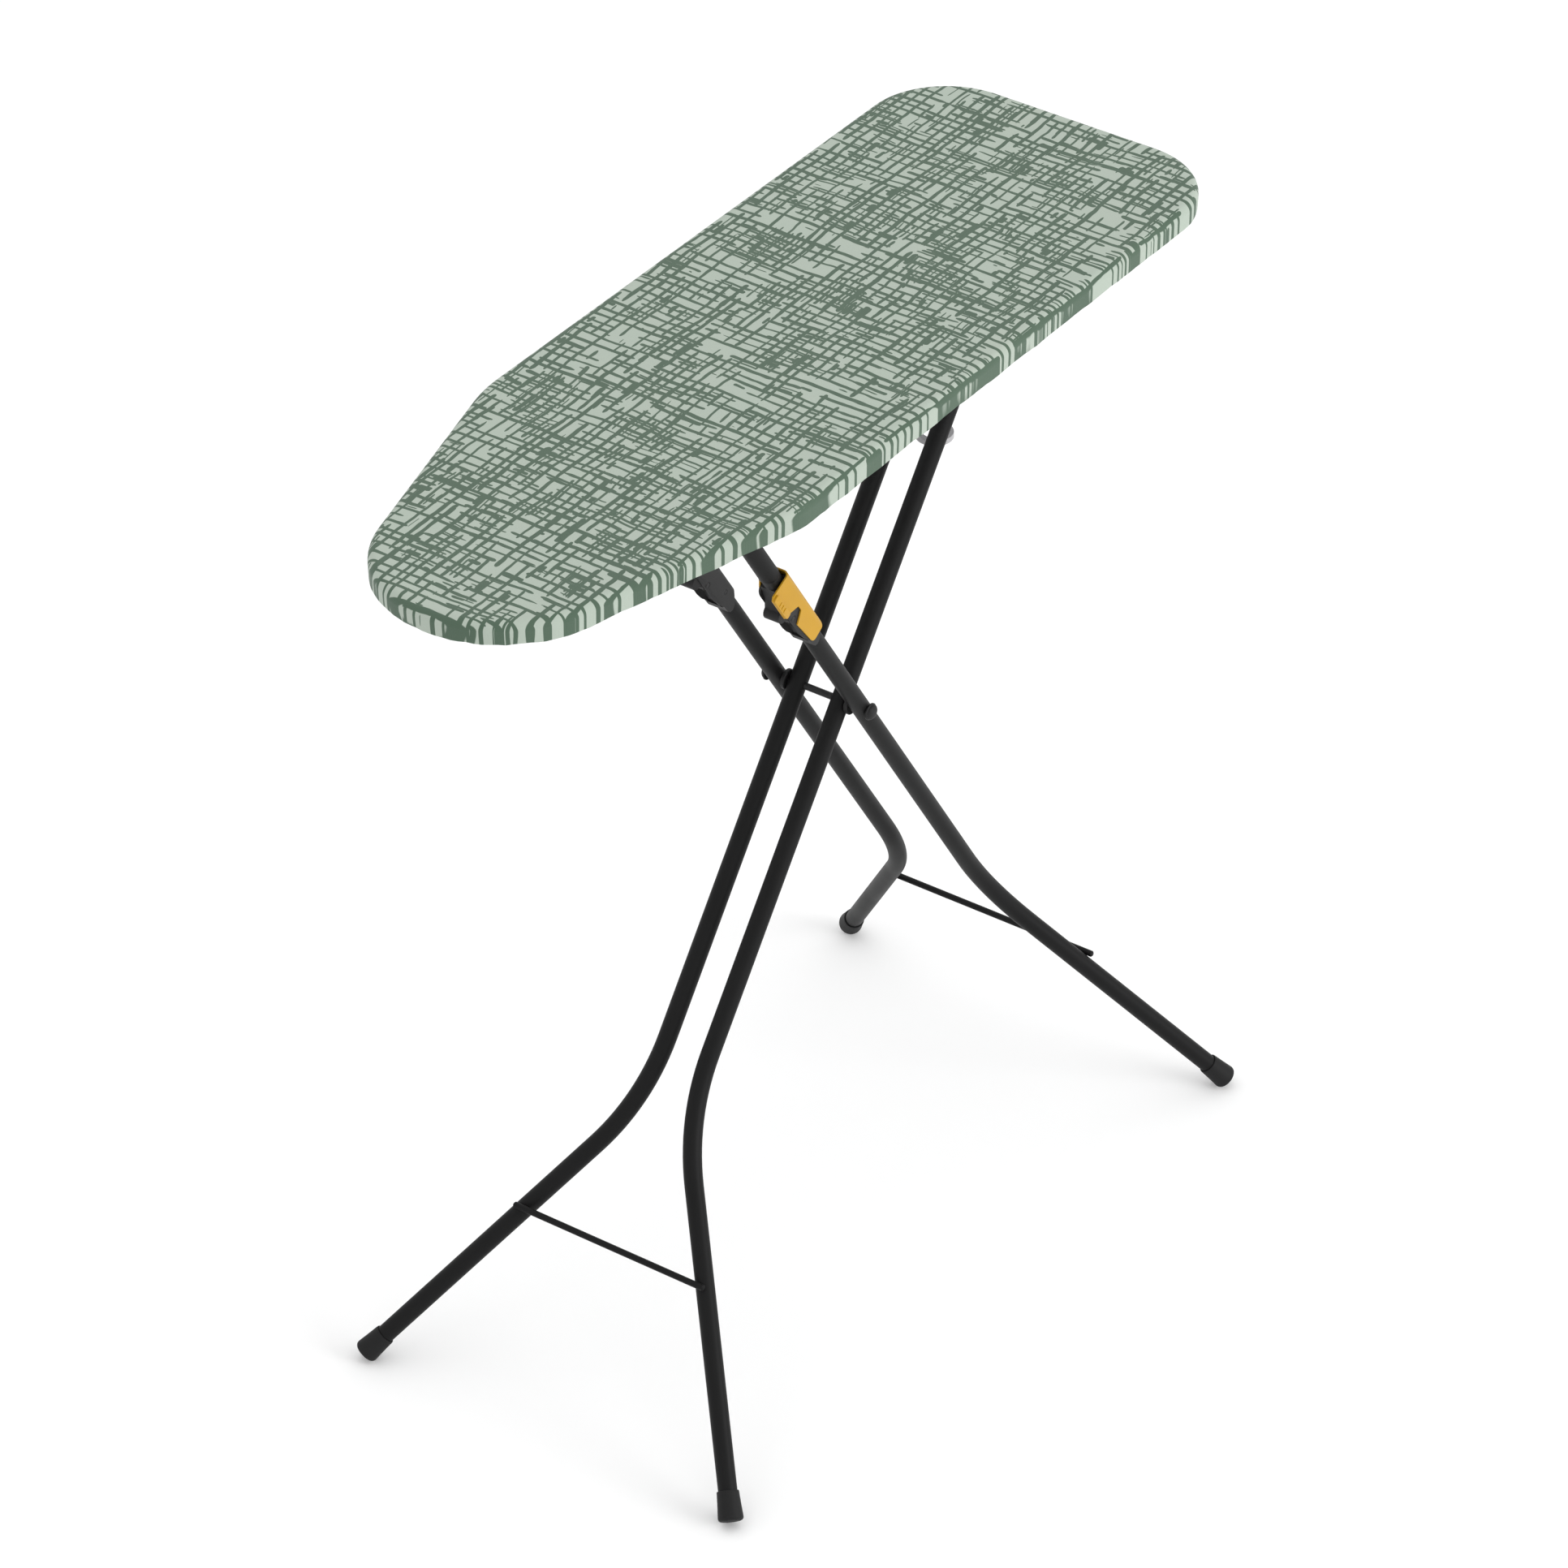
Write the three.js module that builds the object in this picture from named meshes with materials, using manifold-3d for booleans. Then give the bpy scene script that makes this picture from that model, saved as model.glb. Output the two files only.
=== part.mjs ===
// Ironing board with a scissor stand. Millimetres, +Z up.
// +X runs along the board from the round nose to the square rear end, +Y across it.
import * as THREE from 'three';
import { mergeVertices } from 'three/addons/utils/BufferGeometryUtils.js';
import Module from 'manifold-3d';

const wasm = await Module();
wasm.setup();

// ---------------------------------------------------------------- driving sizes

// board outline
const BOARD_LENGTH = 893;
const BOARD_WIDTH = 305;
const BOARD_HEIGHT = 895.3;
const TAPER_ANGLE = 14.85; // degrees, each side
const NOSE_RADIUS = 102.5;
const REAR_CORNER_RADIUS = 74;
const SHOULDER_RADIUS = 150;

// board layers, from the top down
const COVER_THICKNESS = 1.2;
const COVER_EDGE_RADIUS = 9;
const COVER_DEPTH = 18.8; // top of the cover to its hem
const HEM_WIDTH = 20; // turned in under the board
const PAD_THICKNESS = 5;
const DECK_THICKNESS = 1.2;
const RIM_HEM_GAP = 0.9; // edge band above the turned-in hem
const RIM_THICKNESS = 1.2;
const LAYER_GAP = 0.3;

// perforations of the deck
const VENT_LENGTH = 30;
const VENT_WIDTH = 10;
const VENT_PITCH_X = 62;
const VENT_PITCH_Y = 42;
const VENT_EDGE_MARGIN = 24;

// scissor geometry
const TOP_PIN_SETBACK = 304.2; // outer legs' top pin, behind the nose
const TOP_BAR_SETBACK = 118.9; // inner legs' top bar, ahead of the rear end
const INNER_FOOT_SETBACK = 128.4; // behind the nose
const OUTER_FOOT_SETBACK = 30.5; // ahead of the rear end
const TOP_PIN_DROP = 22.3; // top pin and top bar below the underside of the deck
const INNER_TRACK = 42.8; // centre to centre of the two inner tubes
const FRAME_GAP = 4.4; // between an inner tube and its outer neighbour
const INNER_ROD_DROP = 488; // cross rods, down the leg from the scissor axle
const OUTER_ROD_DROP = 458;
const BEND_HEIGHT = 237; // where the legs splay
const SPLAY_ANGLE = 30;
const BEND_RADIUS = 210;
const FOOT_FACE_HEIGHT = 6.53; // centre of a foot's end face above the floor

// tubes and rods
const TUBE_DIAMETER = 16;
const TUBE_WALL = 1.2;
const UPPER_TUBE_EXTRA = 1; // upper outer tubes, over the others
const AXLE_DIAMETER = 6;
const TOP_PIN_DIAMETER = 8;
const TOP_BAR_DIAMETER = 12;
const CROSS_ROD_DIAMETER = 5.5;
const RUNNING_CLEARANCE = 0.3; // radial, turning parts
const SEAT_CLEARANCE = 0.15; // radial, fixed parts
const TOUCH_GAP = 0.3; // between faces that meet

// feet
const FOOT_LENGTH = 25;
const FOOT_WALL = 1; // around the tube, at the cup's rim
const FOOT_FLARE = 2.6; // beyond the tube, at the floor end
const FOOT_END_THICKNESS = 4;
const FOOT_EDGE_RADIUS = 2.5;

// knuckle in the upper outer legs
const KNUCKLE_PIN_RISE = 188; // along the leg, above the scissor axle
const KNUCKLE_PIN_INSET = 4; // in from the housing's floor side
const KNUCKLE_PIN_DIAMETER = 5;
const HOUSING_LOW = 134; // heights up the leg from the scissor axle
const HOUSING_RELIEF = 146; // above this the folded upper leg lies between the cheeks
const HOUSING_THROAT = 164;
const HOUSING_HIGH = 226;
const HOUSING_SIDE_WALL = 1.9; // beyond the tube
const HOUSING_BACK_WALL = 1.3; // board side
const HOUSING_FRONT_WALL = 5.8; // floor side
const HOUSING_CHEEK = 2;
const HOUSING_ROUNDING = 4;
const COLLAR_LOW = 229;
const COLLAR_HIGH = 240;
const RIVET_RISE = 158;
const RIVET_DIAMETER = 4;

// lock slider on the near knuckle
const SLIDER_WALL = 1.3;
const SLIDER_GAP = 0.3;
const SLIDER_LOW = 144;
const SLIDER_HIGH = 236;
const SLIDER_FRONT = 17.5; // floor side edge at the thumb pad
const PAD_RISE = 1.8; // thumb pad proud of the slider's face

// height adjustment under the deck
const RACK_TRACK = 124;
const RACK_THICKNESS = 2;
const RACK_STEP = 24;
const RACK_NOTCHES = 4;
const RACK_LEAD = 45; // rail ahead of the first notch
const RACK_CLEARANCE = 0.8; // above the top bar
const LEVER_ROD_DIAMETER = 5;
const LEVER_SETBACK = 34; // lever axis ahead of the top bar
const PAWL_THICKNESS = 2;
const PAWL_GAP = 1.2; // beside the rack
const BRACKET_THICKNESS = 2;
const BRACKET_WIDTH = 34;
const BRACKET_FLANGE = 22;
const RIB_TRACK = 168;
const RIB_WIDTH = 26;
const RIB_DEPTH = 7;

// cord clip behind the near inner leg: a level ring on a saddle
const CLIP_RISE = 217;
const CLIP_OUTER_DIAMETER = 32;
const CLIP_INNER_DIAMETER = 21;
const CLIP_HEIGHT = 5;
const CLIP_SETBACK = 23; // ring centre behind the tube's centre
const CLIP_SHIFT = 13.4; // towards the far leg
const SADDLE_WIDTH = 10;

// ---------------------------------------------------------------- worked-out places

const rad = THREE.MathUtils.degToRad;
const deckBottom = BOARD_HEIGHT - COVER_THICKNESS - PAD_THICKNESS - DECK_THICKNESS - 2 * LAYER_GAP;
const deckTop = deckBottom + DECK_THICKNESS;
const padBottom = deckTop + LAYER_GAP;
const padTop = padBottom + PAD_THICKNESS;
const hemBottom = BOARD_HEIGHT - COVER_DEPTH;
const coverInset = COVER_THICKNESS + LAYER_GAP;
const topPinHeight = deckBottom - TOP_PIN_DROP;
const tubeRadius = TUBE_DIAMETER / 2;
const upperRadius = tubeRadius + UPPER_TUBE_EXTRA / 2;
const housingHalf = tubeRadius + HOUSING_SIDE_WALL;
const housingBack = tubeRadius + HOUSING_BACK_WALL;
const housingFront = tubeRadius + HOUSING_FRONT_WALL;
const innerHalf = INNER_TRACK / 2;
const outerHalf = innerHalf + TUBE_DIAMETER + FRAME_GAP;

// the two leg lines, and the axle where they cross
const topPinX = -BOARD_LENGTH / 2 + TOP_PIN_SETBACK;
const topBarX = BOARD_LENGTH / 2 - TOP_BAR_SETBACK;
const innerFootX = -BOARD_LENGTH / 2 + INNER_FOOT_SETBACK;
const outerFootX = BOARD_LENGTH / 2 - OUTER_FOOT_SETBACK;
const legRise = topPinHeight - FOOT_FACE_HEIGHT;
const innerAngle = Math.atan2(legRise, topBarX - innerFootX);
const outerAngle = Math.atan2(legRise, outerFootX - topPinX);
const innerSin = Math.sin(innerAngle);
const outerSin = Math.sin(outerAngle);
const axleRise = (outerFootX - innerFootX) / (1 / Math.tan(innerAngle) + 1 / Math.tan(outerAngle));
const axleHeight = FOOT_FACE_HEIGHT + axleRise;
const axleX = innerFootX + axleRise / Math.tan(innerAngle);

// distances along the legs from the axle
const innerTop = (topPinHeight - axleHeight) / innerSin;
const outerTop = (topPinHeight - axleHeight) / outerSin;
const innerBend = (BEND_HEIGHT - axleHeight) / innerSin;
const outerBend = (BEND_HEIGHT - axleHeight) / outerSin;
const innerEnd = -axleRise / innerSin;
const outerEnd = -axleRise / outerSin;

// Leg frames: local x up the leg from the axle, local y across,
// local z to the board side for the inner legs and to the floor side for the outer legs.
function legFrame(ux, uz) {
  const u = new THREE.Vector3(ux, 0, uz);
  const y = new THREE.Vector3(0, 1, 0);
  const n = new THREE.Vector3().crossVectors(u, y);
  const m = new THREE.Matrix4().makeBasis(u, y, n);
  m.setPosition(axleX, 0, axleHeight);
  return m;
}
const innerFrame = legFrame(Math.cos(innerAngle), innerSin);
const outerFrame = legFrame(-Math.cos(outerAngle), outerSin);

// ---------------------------------------------------------------- materials

const COLOURS = {
  fabric: { color: 0xb4c0b4, roughness: 0.95, metalness: 0 },
  felt: { color: 0xd8d6cf, roughness: 1, metalness: 0 },
  deck_steel: { color: 0xc9cbcc, roughness: 0.55, metalness: 0.3 },
  black_tube: { color: 0x252526, roughness: 0.42, metalness: 0.2 },
  black_plastic: { color: 0x1a1a1b, roughness: 0.6, metalness: 0 },
  grey_plastic: { color: 0xb9babb, roughness: 0.5, metalness: 0 },
  amber_plastic: { color: 0xd3a034, roughness: 0.45, metalness: 0 },
  dark_steel: { color: 0x3a3b3d, roughness: 0.4, metalness: 0.6 },
  zinc_steel: { color: 0x8f9294, roughness: 0.35, metalness: 0.8 },
};

const board = new THREE.Group();
board.name = 'ironing_board';

function add(name, look, geometry, matrix) {
  if (matrix) {
    geometry.applyMatrix4(matrix);
  }
  geometry.computeVertexNormals();
  const mesh = new THREE.Mesh(geometry, new THREE.MeshStandardMaterial(COLOURS[look]));
  mesh.name = name;
  mesh.material.name = look;
  board.add(mesh);
}

// ---------------------------------------------------------------- solid helpers

function solid(geometry) {
  const g = geometry.clone();
  g.deleteAttribute('normal');
  g.deleteAttribute('uv');
  const merged = mergeVertices(g, 1e-4);
  return new wasm.Manifold(new wasm.Mesh({
    numProp: 3,
    vertProperties: new Float32Array(merged.attributes.position.array),
    triVerts: new Uint32Array(merged.index.array),
  }));
}

function fromSolid(manifold) {
  const mesh = manifold.getMesh();
  const g = new THREE.BufferGeometry();
  g.setAttribute('position', new THREE.BufferAttribute(new Float32Array(mesh.vertProperties), 3));
  g.setIndex(new THREE.BufferAttribute(new Uint32Array(mesh.triVerts), 1));
  return g;
}

function cut(base, ...tools) {
  return fromSolid(tools.reduce((result, tool) => result.subtract(solid(tool)), solid(base)));
}

function join(base, ...others) {
  return fromSolid(others.reduce((result, other) => result.add(solid(other)), solid(base)));
}

function box(x0, x1, y0, y1, z0, z1) {
  const g = new THREE.BoxGeometry(x1 - x0, y1 - y0, z1 - z0);
  return g.translate((x0 + x1) / 2, (y0 + y1) / 2, (z0 + z1) / 2);
}

// cylinder along local y
function rodY(radius, x, z, y0, y1, sides = 20) {
  const g = new THREE.CylinderGeometry(radius, radius, y1 - y0, sides);
  return g.translate(x, (y0 + y1) / 2, z);
}

// body of revolution about local y; profile is [radius, y] from axis to axis
function turnedY(profile, x, z, sides = 20) {
  const points = profile.map(([r, y]) => new THREE.Vector2(r, y));
  return new THREE.LatheGeometry(points, sides).translate(x, 0, z);
}

// plate in the local x-z plane, extruded across y
function plateXZ(shape, y0, y1, curveSegments = 8) {
  const g = new THREE.ExtrudeGeometry(shape, { depth: y1 - y0, bevelEnabled: false, curveSegments });
  g.rotateX(Math.PI / 2);
  return g.translate(0, y1, 0);
}

function roundedRect(x0, x1, z0, z1, r) {
  const s = new THREE.Shape();
  s.moveTo(x0 + r, z0);
  s.lineTo(x1 - r, z0);
  s.absarc(x1 - r, z0 + r, r, -Math.PI / 2, 0);
  s.lineTo(x1, z1 - r);
  s.absarc(x1 - r, z1 - r, r, 0, Math.PI / 2);
  s.lineTo(x0 + r, z1);
  s.absarc(x0 + r, z1 - r, r, Math.PI / 2, Math.PI);
  s.lineTo(x0, z0 + r);
  s.absarc(x0 + r, z0 + r, r, Math.PI, 1.5 * Math.PI);
  return s;
}

// Closed surface through rings with the same number of points, capped at both ends.
function loft(rings, capShape = null) {
  const count = rings[0].length;
  const positions = rings.flat().flatMap((p) => [p.x, p.y, p.z]);
  const index = [];
  for (let k = 0; k + 1 < rings.length; k += 1) {
    for (let i = 0; i < count; i += 1) {
      const j = (i + 1) % count;
      const a = k * count + i;
      const b = k * count + j;
      index.push(a, b, b + count, a, b + count, a + count);
    }
  }
  const faces = THREE.ShapeUtils.triangulateShape(capShape ?? rings[0].map((p) => new THREE.Vector2(p.x, p.y)), []);
  const last = (rings.length - 1) * count;
  for (const [a, b, c] of faces) {
    index.push(c, b, a);
    index.push(last + a, last + b, last + c);
  }
  const g = new THREE.BufferGeometry();
  g.setAttribute('position', new THREE.BufferAttribute(new Float32Array(positions), 3));
  g.setIndex(index);
  return g;
}

// ---------------------------------------------------------------- board outline

// Points of the board's plan outline, moved in by `inset`, anticlockwise seen from above.
function outline(inset, steps = 10) {
  const rear = BOARD_LENGTH / 2 - inset;
  const half = BOARD_WIDTH / 2 - inset;
  const taper = rad(TAPER_ANGLE);
  const noseRadius = NOSE_RADIUS - inset;
  const noseX = -BOARD_LENGTH / 2 + NOSE_RADIUS;
  const cornerRadius = REAR_CORNER_RADIUS - inset;
  const shoulderRadius = SHOULDER_RADIUS - inset;
  const taperRun = (BOARD_WIDTH / 2 - NOSE_RADIUS / Math.cos(taper)) / Math.tan(taper);
  const shoulderX = noseX + taperRun + SHOULDER_RADIUS * Math.tan(taper / 2);
  const arcs = [
    [rear - cornerRadius, half - cornerRadius, cornerRadius, 0, Math.PI / 2],
    [shoulderX, half - shoulderRadius, shoulderRadius, Math.PI / 2, Math.PI / 2 + taper],
    [noseX, 0, noseRadius, Math.PI / 2 + taper, 1.5 * Math.PI - taper],
    [shoulderX, shoulderRadius - half, shoulderRadius, 1.5 * Math.PI - taper, 1.5 * Math.PI],
    [rear - cornerRadius, cornerRadius - half, cornerRadius, 1.5 * Math.PI, 2 * Math.PI],
  ];
  const points = [];
  arcs.forEach(([x, y, r, from, to]) => {
    const n = 2 * Math.ceil(steps * (to - from) / Math.PI);
    for (let i = 0; i <= n; i += 1) {
      const a = from + (to - from) * i / n;
      points.push(new THREE.Vector2(x + r * Math.cos(a), y + r * Math.sin(a)));
    }
  });
  return points;
}

function ringAt(inset, z) {
  return outline(inset).map((p) => new THREE.Vector3(p.x, p.y, z));
}

function outlineShape(inset) {
  return new THREE.Shape(outline(inset));
}

// fabric cover: top skin, rounded edge, straight skirt and a hem turned in underneath
const edgeRun = COVER_EDGE_RADIUS * 0.7; // how far the rounded edge runs in
const EDGE_STEPS = 4;

// Inset of the cover's inner face at a height.
function coverInner(z) {
  const up = THREE.MathUtils.clamp((z - padTop - LAYER_GAP) / edgeRun + 1, 0, 1);
  return coverInset + edgeRun * up;
}

const coverRings = [
  ringAt(coverInner(padTop + LAYER_GAP), padTop + LAYER_GAP),
  ringAt(coverInset, padTop + LAYER_GAP - edgeRun),
  ringAt(coverInset, hemBottom + COVER_THICKNESS),
  ringAt(coverInset + HEM_WIDTH, hemBottom + COVER_THICKNESS),
  ringAt(coverInset + HEM_WIDTH, hemBottom),
  ringAt(1, hemBottom),
  ringAt(0, hemBottom + 1),
];
for (let i = 0; i <= EDGE_STEPS; i += 1) {
  const a = i / EDGE_STEPS * Math.PI / 2;
  const height = BOARD_HEIGHT - COVER_EDGE_RADIUS * (1 - Math.sin(a));
  coverRings.push(ringAt(edgeRun * (1 - Math.cos(a)), height));
}
add('ironing_cover', 'fabric', loft(coverRings));

// foam pad on the deck
add('foam_pad', 'felt', loft([
  ringAt(coverInner(padBottom) + LAYER_GAP, padBottom),
  ringAt(coverInner(padTop) + LAYER_GAP, padTop),
]));

// pressed steel deck with steam vents
const deckInset = coverInner(deckTop) + LAYER_GAP;
const ventHalf = VENT_LENGTH / 2 - VENT_WIDTH / 2;
const ventField = outlineShape(deckInset + VENT_EDGE_MARGIN).getPoints();
function insideField(x, y) {
  let inside = false;
  for (let i = 0, j = ventField.length - 1; i < ventField.length; j = i, i += 1) {
    const a = ventField[i];
    const b = ventField[j];
    if ((a.y > y) !== (b.y > y) && x < (b.x - a.x) * (y - a.y) / (b.y - a.y) + a.x) {
      inside = !inside;
    }
  }
  return inside;
}
const deckShape = outlineShape(deckInset);
const columns = Math.floor(BOARD_LENGTH / 2 / VENT_PITCH_X);
const rows = Math.floor(BOARD_WIDTH / 2 / VENT_PITCH_Y);
for (let i = -columns; i <= columns; i += 1) {
  for (let j = -rows; j <= rows; j += 1) {
    const x = (i + (Math.abs(j) % 2) / 2) * VENT_PITCH_X;
    const y = j * VENT_PITCH_Y;
    if (insideField(x - VENT_LENGTH / 2, y) && insideField(x + VENT_LENGTH / 2, y)) {
      const vent = new THREE.Path();
      vent.absarc(x + ventHalf, y, VENT_WIDTH / 2, -Math.PI / 2, Math.PI / 2);
      vent.absarc(x - ventHalf, y, VENT_WIDTH / 2, Math.PI / 2, 1.5 * Math.PI);
      vent.closePath();
      deckShape.holes.push(vent);
    }
  }
}
const deck = new THREE.ExtrudeGeometry(deckShape, {
  depth: DECK_THICKNESS, bevelEnabled: false, curveSegments: 2,
});
add('deck_plate', 'deck_steel', fromSolid(solid(deck.translate(0, 0, deckBottom))));

// steel band that stiffens the deck's edge
const rimShape = outlineShape(deckInset + 1);
rimShape.holes.push(new THREE.Path(outline(deckInset + 1 + RIM_THICKNESS).reverse()));
const rimTop = deckBottom - TOUCH_GAP;
const rimDepth = rimTop - hemBottom - COVER_THICKNESS - RIM_HEM_GAP;
const rim = new THREE.ExtrudeGeometry(rimShape, { depth: rimDepth, bevelEnabled: false });
add('edge_rim', 'deck_steel', fromSolid(solid(rim.translate(0, 0, rimTop - rimDepth))));


// ---------------------------------------------------------------- tubes

// Path in a leg's local x-y plane: straight down from `top`, a bend outwards, then
// straight to `end`. side is -1 near, +1 far.
function legPath(top, bend, end, half, side) {
  const splay = rad(SPLAY_ANGLE);
  const tangent = BEND_RADIUS * Math.tan(splay / 2);
  const steps = 7;
  const path = [{ at: new THREE.Vector3(top, side * half, 0), turn: 0 }];
  for (let i = 0; i <= steps; i += 1) {
    const a = splay * i / steps;
    path.push({
      at: new THREE.Vector3(
        bend + tangent - BEND_RADIUS * Math.sin(a),
        side * (half + BEND_RADIUS * (1 - Math.cos(a))),
        0,
      ),
      turn: a,
    });
  }
  const reach = bend - end;
  path.push({
    at: new THREE.Vector3(end, side * (half + reach * Math.tan(splay)), 0),
    turn: splay,
  });
  return path;
}

function sweptTube(path, side, outer, wall, sides = 16) {
  const ring = ({ at, turn }, radius) => Array.from({ length: sides }, (_, i) => {
    const a = 2 * Math.PI * i / sides;
    const across = radius * Math.cos(a);
    return new THREE.Vector3(
      at.x + across * side * Math.sin(turn),
      at.y + across * Math.cos(turn),
      at.z + radius * Math.sin(a),
    );
  });
  const rings = [
    ...path.map((p) => ring(p, outer)),
    ...path.toReversed().map((p) => ring(p, outer - wall)),
  ];
  const index = [];
  for (let k = 0; k < rings.length; k += 1) {
    const next = ((k + 1) % rings.length) * sides;
    for (let i = 0; i < sides; i += 1) {
      const j = (i + 1) % sides;
      index.push(k * sides + i, next + j, k * sides + j, k * sides + i, next + i, next + j);
    }
  }
  const g = new THREE.BufferGeometry();
  const positions = rings.flat().flatMap((p) => [p.x, p.y, p.z]);
  g.setAttribute('position', new THREE.BufferAttribute(new Float32Array(positions), 3));
  g.setIndex(index);
  return g;
}

// End of the tube above the foot's end face, as a distance along the leg frame.
function tubeEnd(end) {
  return end + (FOOT_END_THICKNESS + TOUCH_GAP) * Math.cos(rad(SPLAY_ANGLE));
}

// Foot cap: a cup on the tube's end, turned about the splayed lower leg.
function footCap(bend, end, half, side) {
  const splay = rad(SPLAY_ANGLE);
  const endRadius = tubeRadius + FOOT_FLARE;
  const topRadius = tubeRadius + FOOT_WALL;
  const edge = FOOT_EDGE_RADIUS;
  const bore = tubeRadius + SEAT_CLEARANCE;
  const profile = [[0, 0], [endRadius - edge, 0]];
  for (let i = 1; i <= 3; i += 1) {
    const a = i / 3 * Math.PI / 2;
    profile.push([endRadius - edge * (1 - Math.sin(a)), edge * (1 - Math.cos(a))]);
  }
  profile.push(
    [topRadius + 0.4, FOOT_LENGTH * 0.55],
    [topRadius, FOOT_LENGTH],
    [bore, FOOT_LENGTH],
    [bore, FOOT_END_THICKNESS],
    [0, FOOT_END_THICKNESS],
  );
  const g = turnedY(profile, 0, 0, 24);
  const up = new THREE.Vector3(Math.cos(splay), -side * Math.sin(splay), 0);
  const z = new THREE.Vector3(0, 0, 1);
  const m = new THREE.Matrix4().makeBasis(new THREE.Vector3().crossVectors(up, z), up, z);
  m.setPosition(end, side * (half + (bend - end) * Math.tan(splay)), 0);
  return g.applyMatrix4(m);
}

// Plug with a head, closing a tube's top end at `top` in a leg frame.
function topPlug(top, half, side, bore) {
  const g = turnedY([[0, -4], [bore - 0.5, -4], [bore, -3.5], [bore, 0.3], [tubeRadius, 0.3],
    [tubeRadius - 0.6, 2], [0, 2.3]], 0, 0, 16);
  g.rotateZ(-Math.PI / 2);
  return g.translate(top, side * half, 0);
}

const SIDES = [['near', -1], ['far', 1]];
const axleRadius = AXLE_DIAMETER / 2;
const topPinRadius = TOP_PIN_DIAMETER / 2;
const topBarRadius = TOP_BAR_DIAMETER / 2;
const endMargin = topBarRadius + 4; // tube beyond its top pin or bar

// ---------------------------------------------------------------- inner legs

const innerTubeTop = innerTop + endMargin;
const innerRodX = -INNER_ROD_DROP;
const rodRadius = CROSS_ROD_DIAMETER / 2;
const rodOffset = tubeRadius + rodRadius + TOUCH_GAP;

function lowerHalf(x, bend, half) {
  return half + (bend - x) * Math.tan(rad(SPLAY_ANGLE));
}

for (const [label, side] of SIDES) {
  const path = legPath(innerTubeTop, innerBend, tubeEnd(innerEnd), innerHalf, side);
  const y = side * innerHalf;
  const tube = cut(
    sweptTube(path, side, tubeRadius, TUBE_WALL),
    rodY(axleRadius + RUNNING_CLEARANCE, 0, 0, y - 12, y + 12),
    rodY(topBarRadius + SEAT_CLEARANCE, innerTop, 0, y - 12, y + 12),
  );
  add(`inner_leg_tube_${label}`, 'black_tube', tube, innerFrame);
  add(`inner_foot_${label}`, 'black_plastic', footCap(innerBend, innerEnd, innerHalf, side), innerFrame);
  const plug = topPlug(innerTubeTop, innerHalf, side, tubeRadius - TUBE_WALL - SEAT_CLEARANCE);
  add(`inner_top_plug_${label}`, 'black_plastic', plug, innerFrame);
}

const barHalf = RACK_TRACK / 2 + 9;
add('inner_top_bar', 'dark_steel', turnedY([
  [0, -barHalf], [topBarRadius - 1, -barHalf], [topBarRadius, 1 - barHalf],
  [topBarRadius, barHalf - 1], [topBarRadius - 1, barHalf], [0, barHalf],
], innerTop, 0), innerFrame);

const innerRodHalf = lowerHalf(innerRodX, innerBend, innerHalf) + 5;
add('inner_cross_rod', 'dark_steel', rodY(rodRadius, innerRodX, rodOffset, -innerRodHalf, innerRodHalf, 12),
  innerFrame);

// ---------------------------------------------------------------- outer legs

const lowerTubeTop = HOUSING_THROAT - TOUCH_GAP;
const upperTubeLow = COLLAR_HIGH + TOUCH_GAP;
const upperTubeTop = outerTop + endMargin;
const outerRodX = -OUTER_ROD_DROP;

for (const [label, side] of SIDES) {
  const y = side * outerHalf;
  const path = legPath(lowerTubeTop, outerBend, tubeEnd(outerEnd), outerHalf, side);
  add(`outer_leg_tube_${label}`, 'black_tube', cut(
    sweptTube(path, side, tubeRadius, TUBE_WALL),
    rodY(axleRadius + SEAT_CLEARANCE, 0, 0, y - 12, y + 12),
    rodY(RIVET_DIAMETER / 2 + SEAT_CLEARANCE, RIVET_RISE, 0, y - 12, y + 12, 12),
  ), outerFrame);
  add(`outer_foot_${label}`, 'black_plastic', footCap(outerBend, outerEnd, outerHalf, side), outerFrame);

  const upper = [
    { at: new THREE.Vector3(upperTubeTop, y, 0), turn: 0 },
    { at: new THREE.Vector3(upperTubeLow, y, 0), turn: 0 },
  ];
  add(`outer_upper_tube_${label}`, 'black_tube', cut(
    sweptTube(upper, side, upperRadius, TUBE_WALL),
    rodY(topPinRadius + RUNNING_CLEARANCE, outerTop, 0, y - 12, y + 12),
  ), outerFrame);
}

const outerRodHalf = lowerHalf(outerRodX, outerBend, outerHalf) + 5;
add('outer_cross_rod', 'dark_steel', rodY(rodRadius, outerRodX, -rodOffset, -outerRodHalf, outerRodHalf, 12),
  outerFrame);

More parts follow.
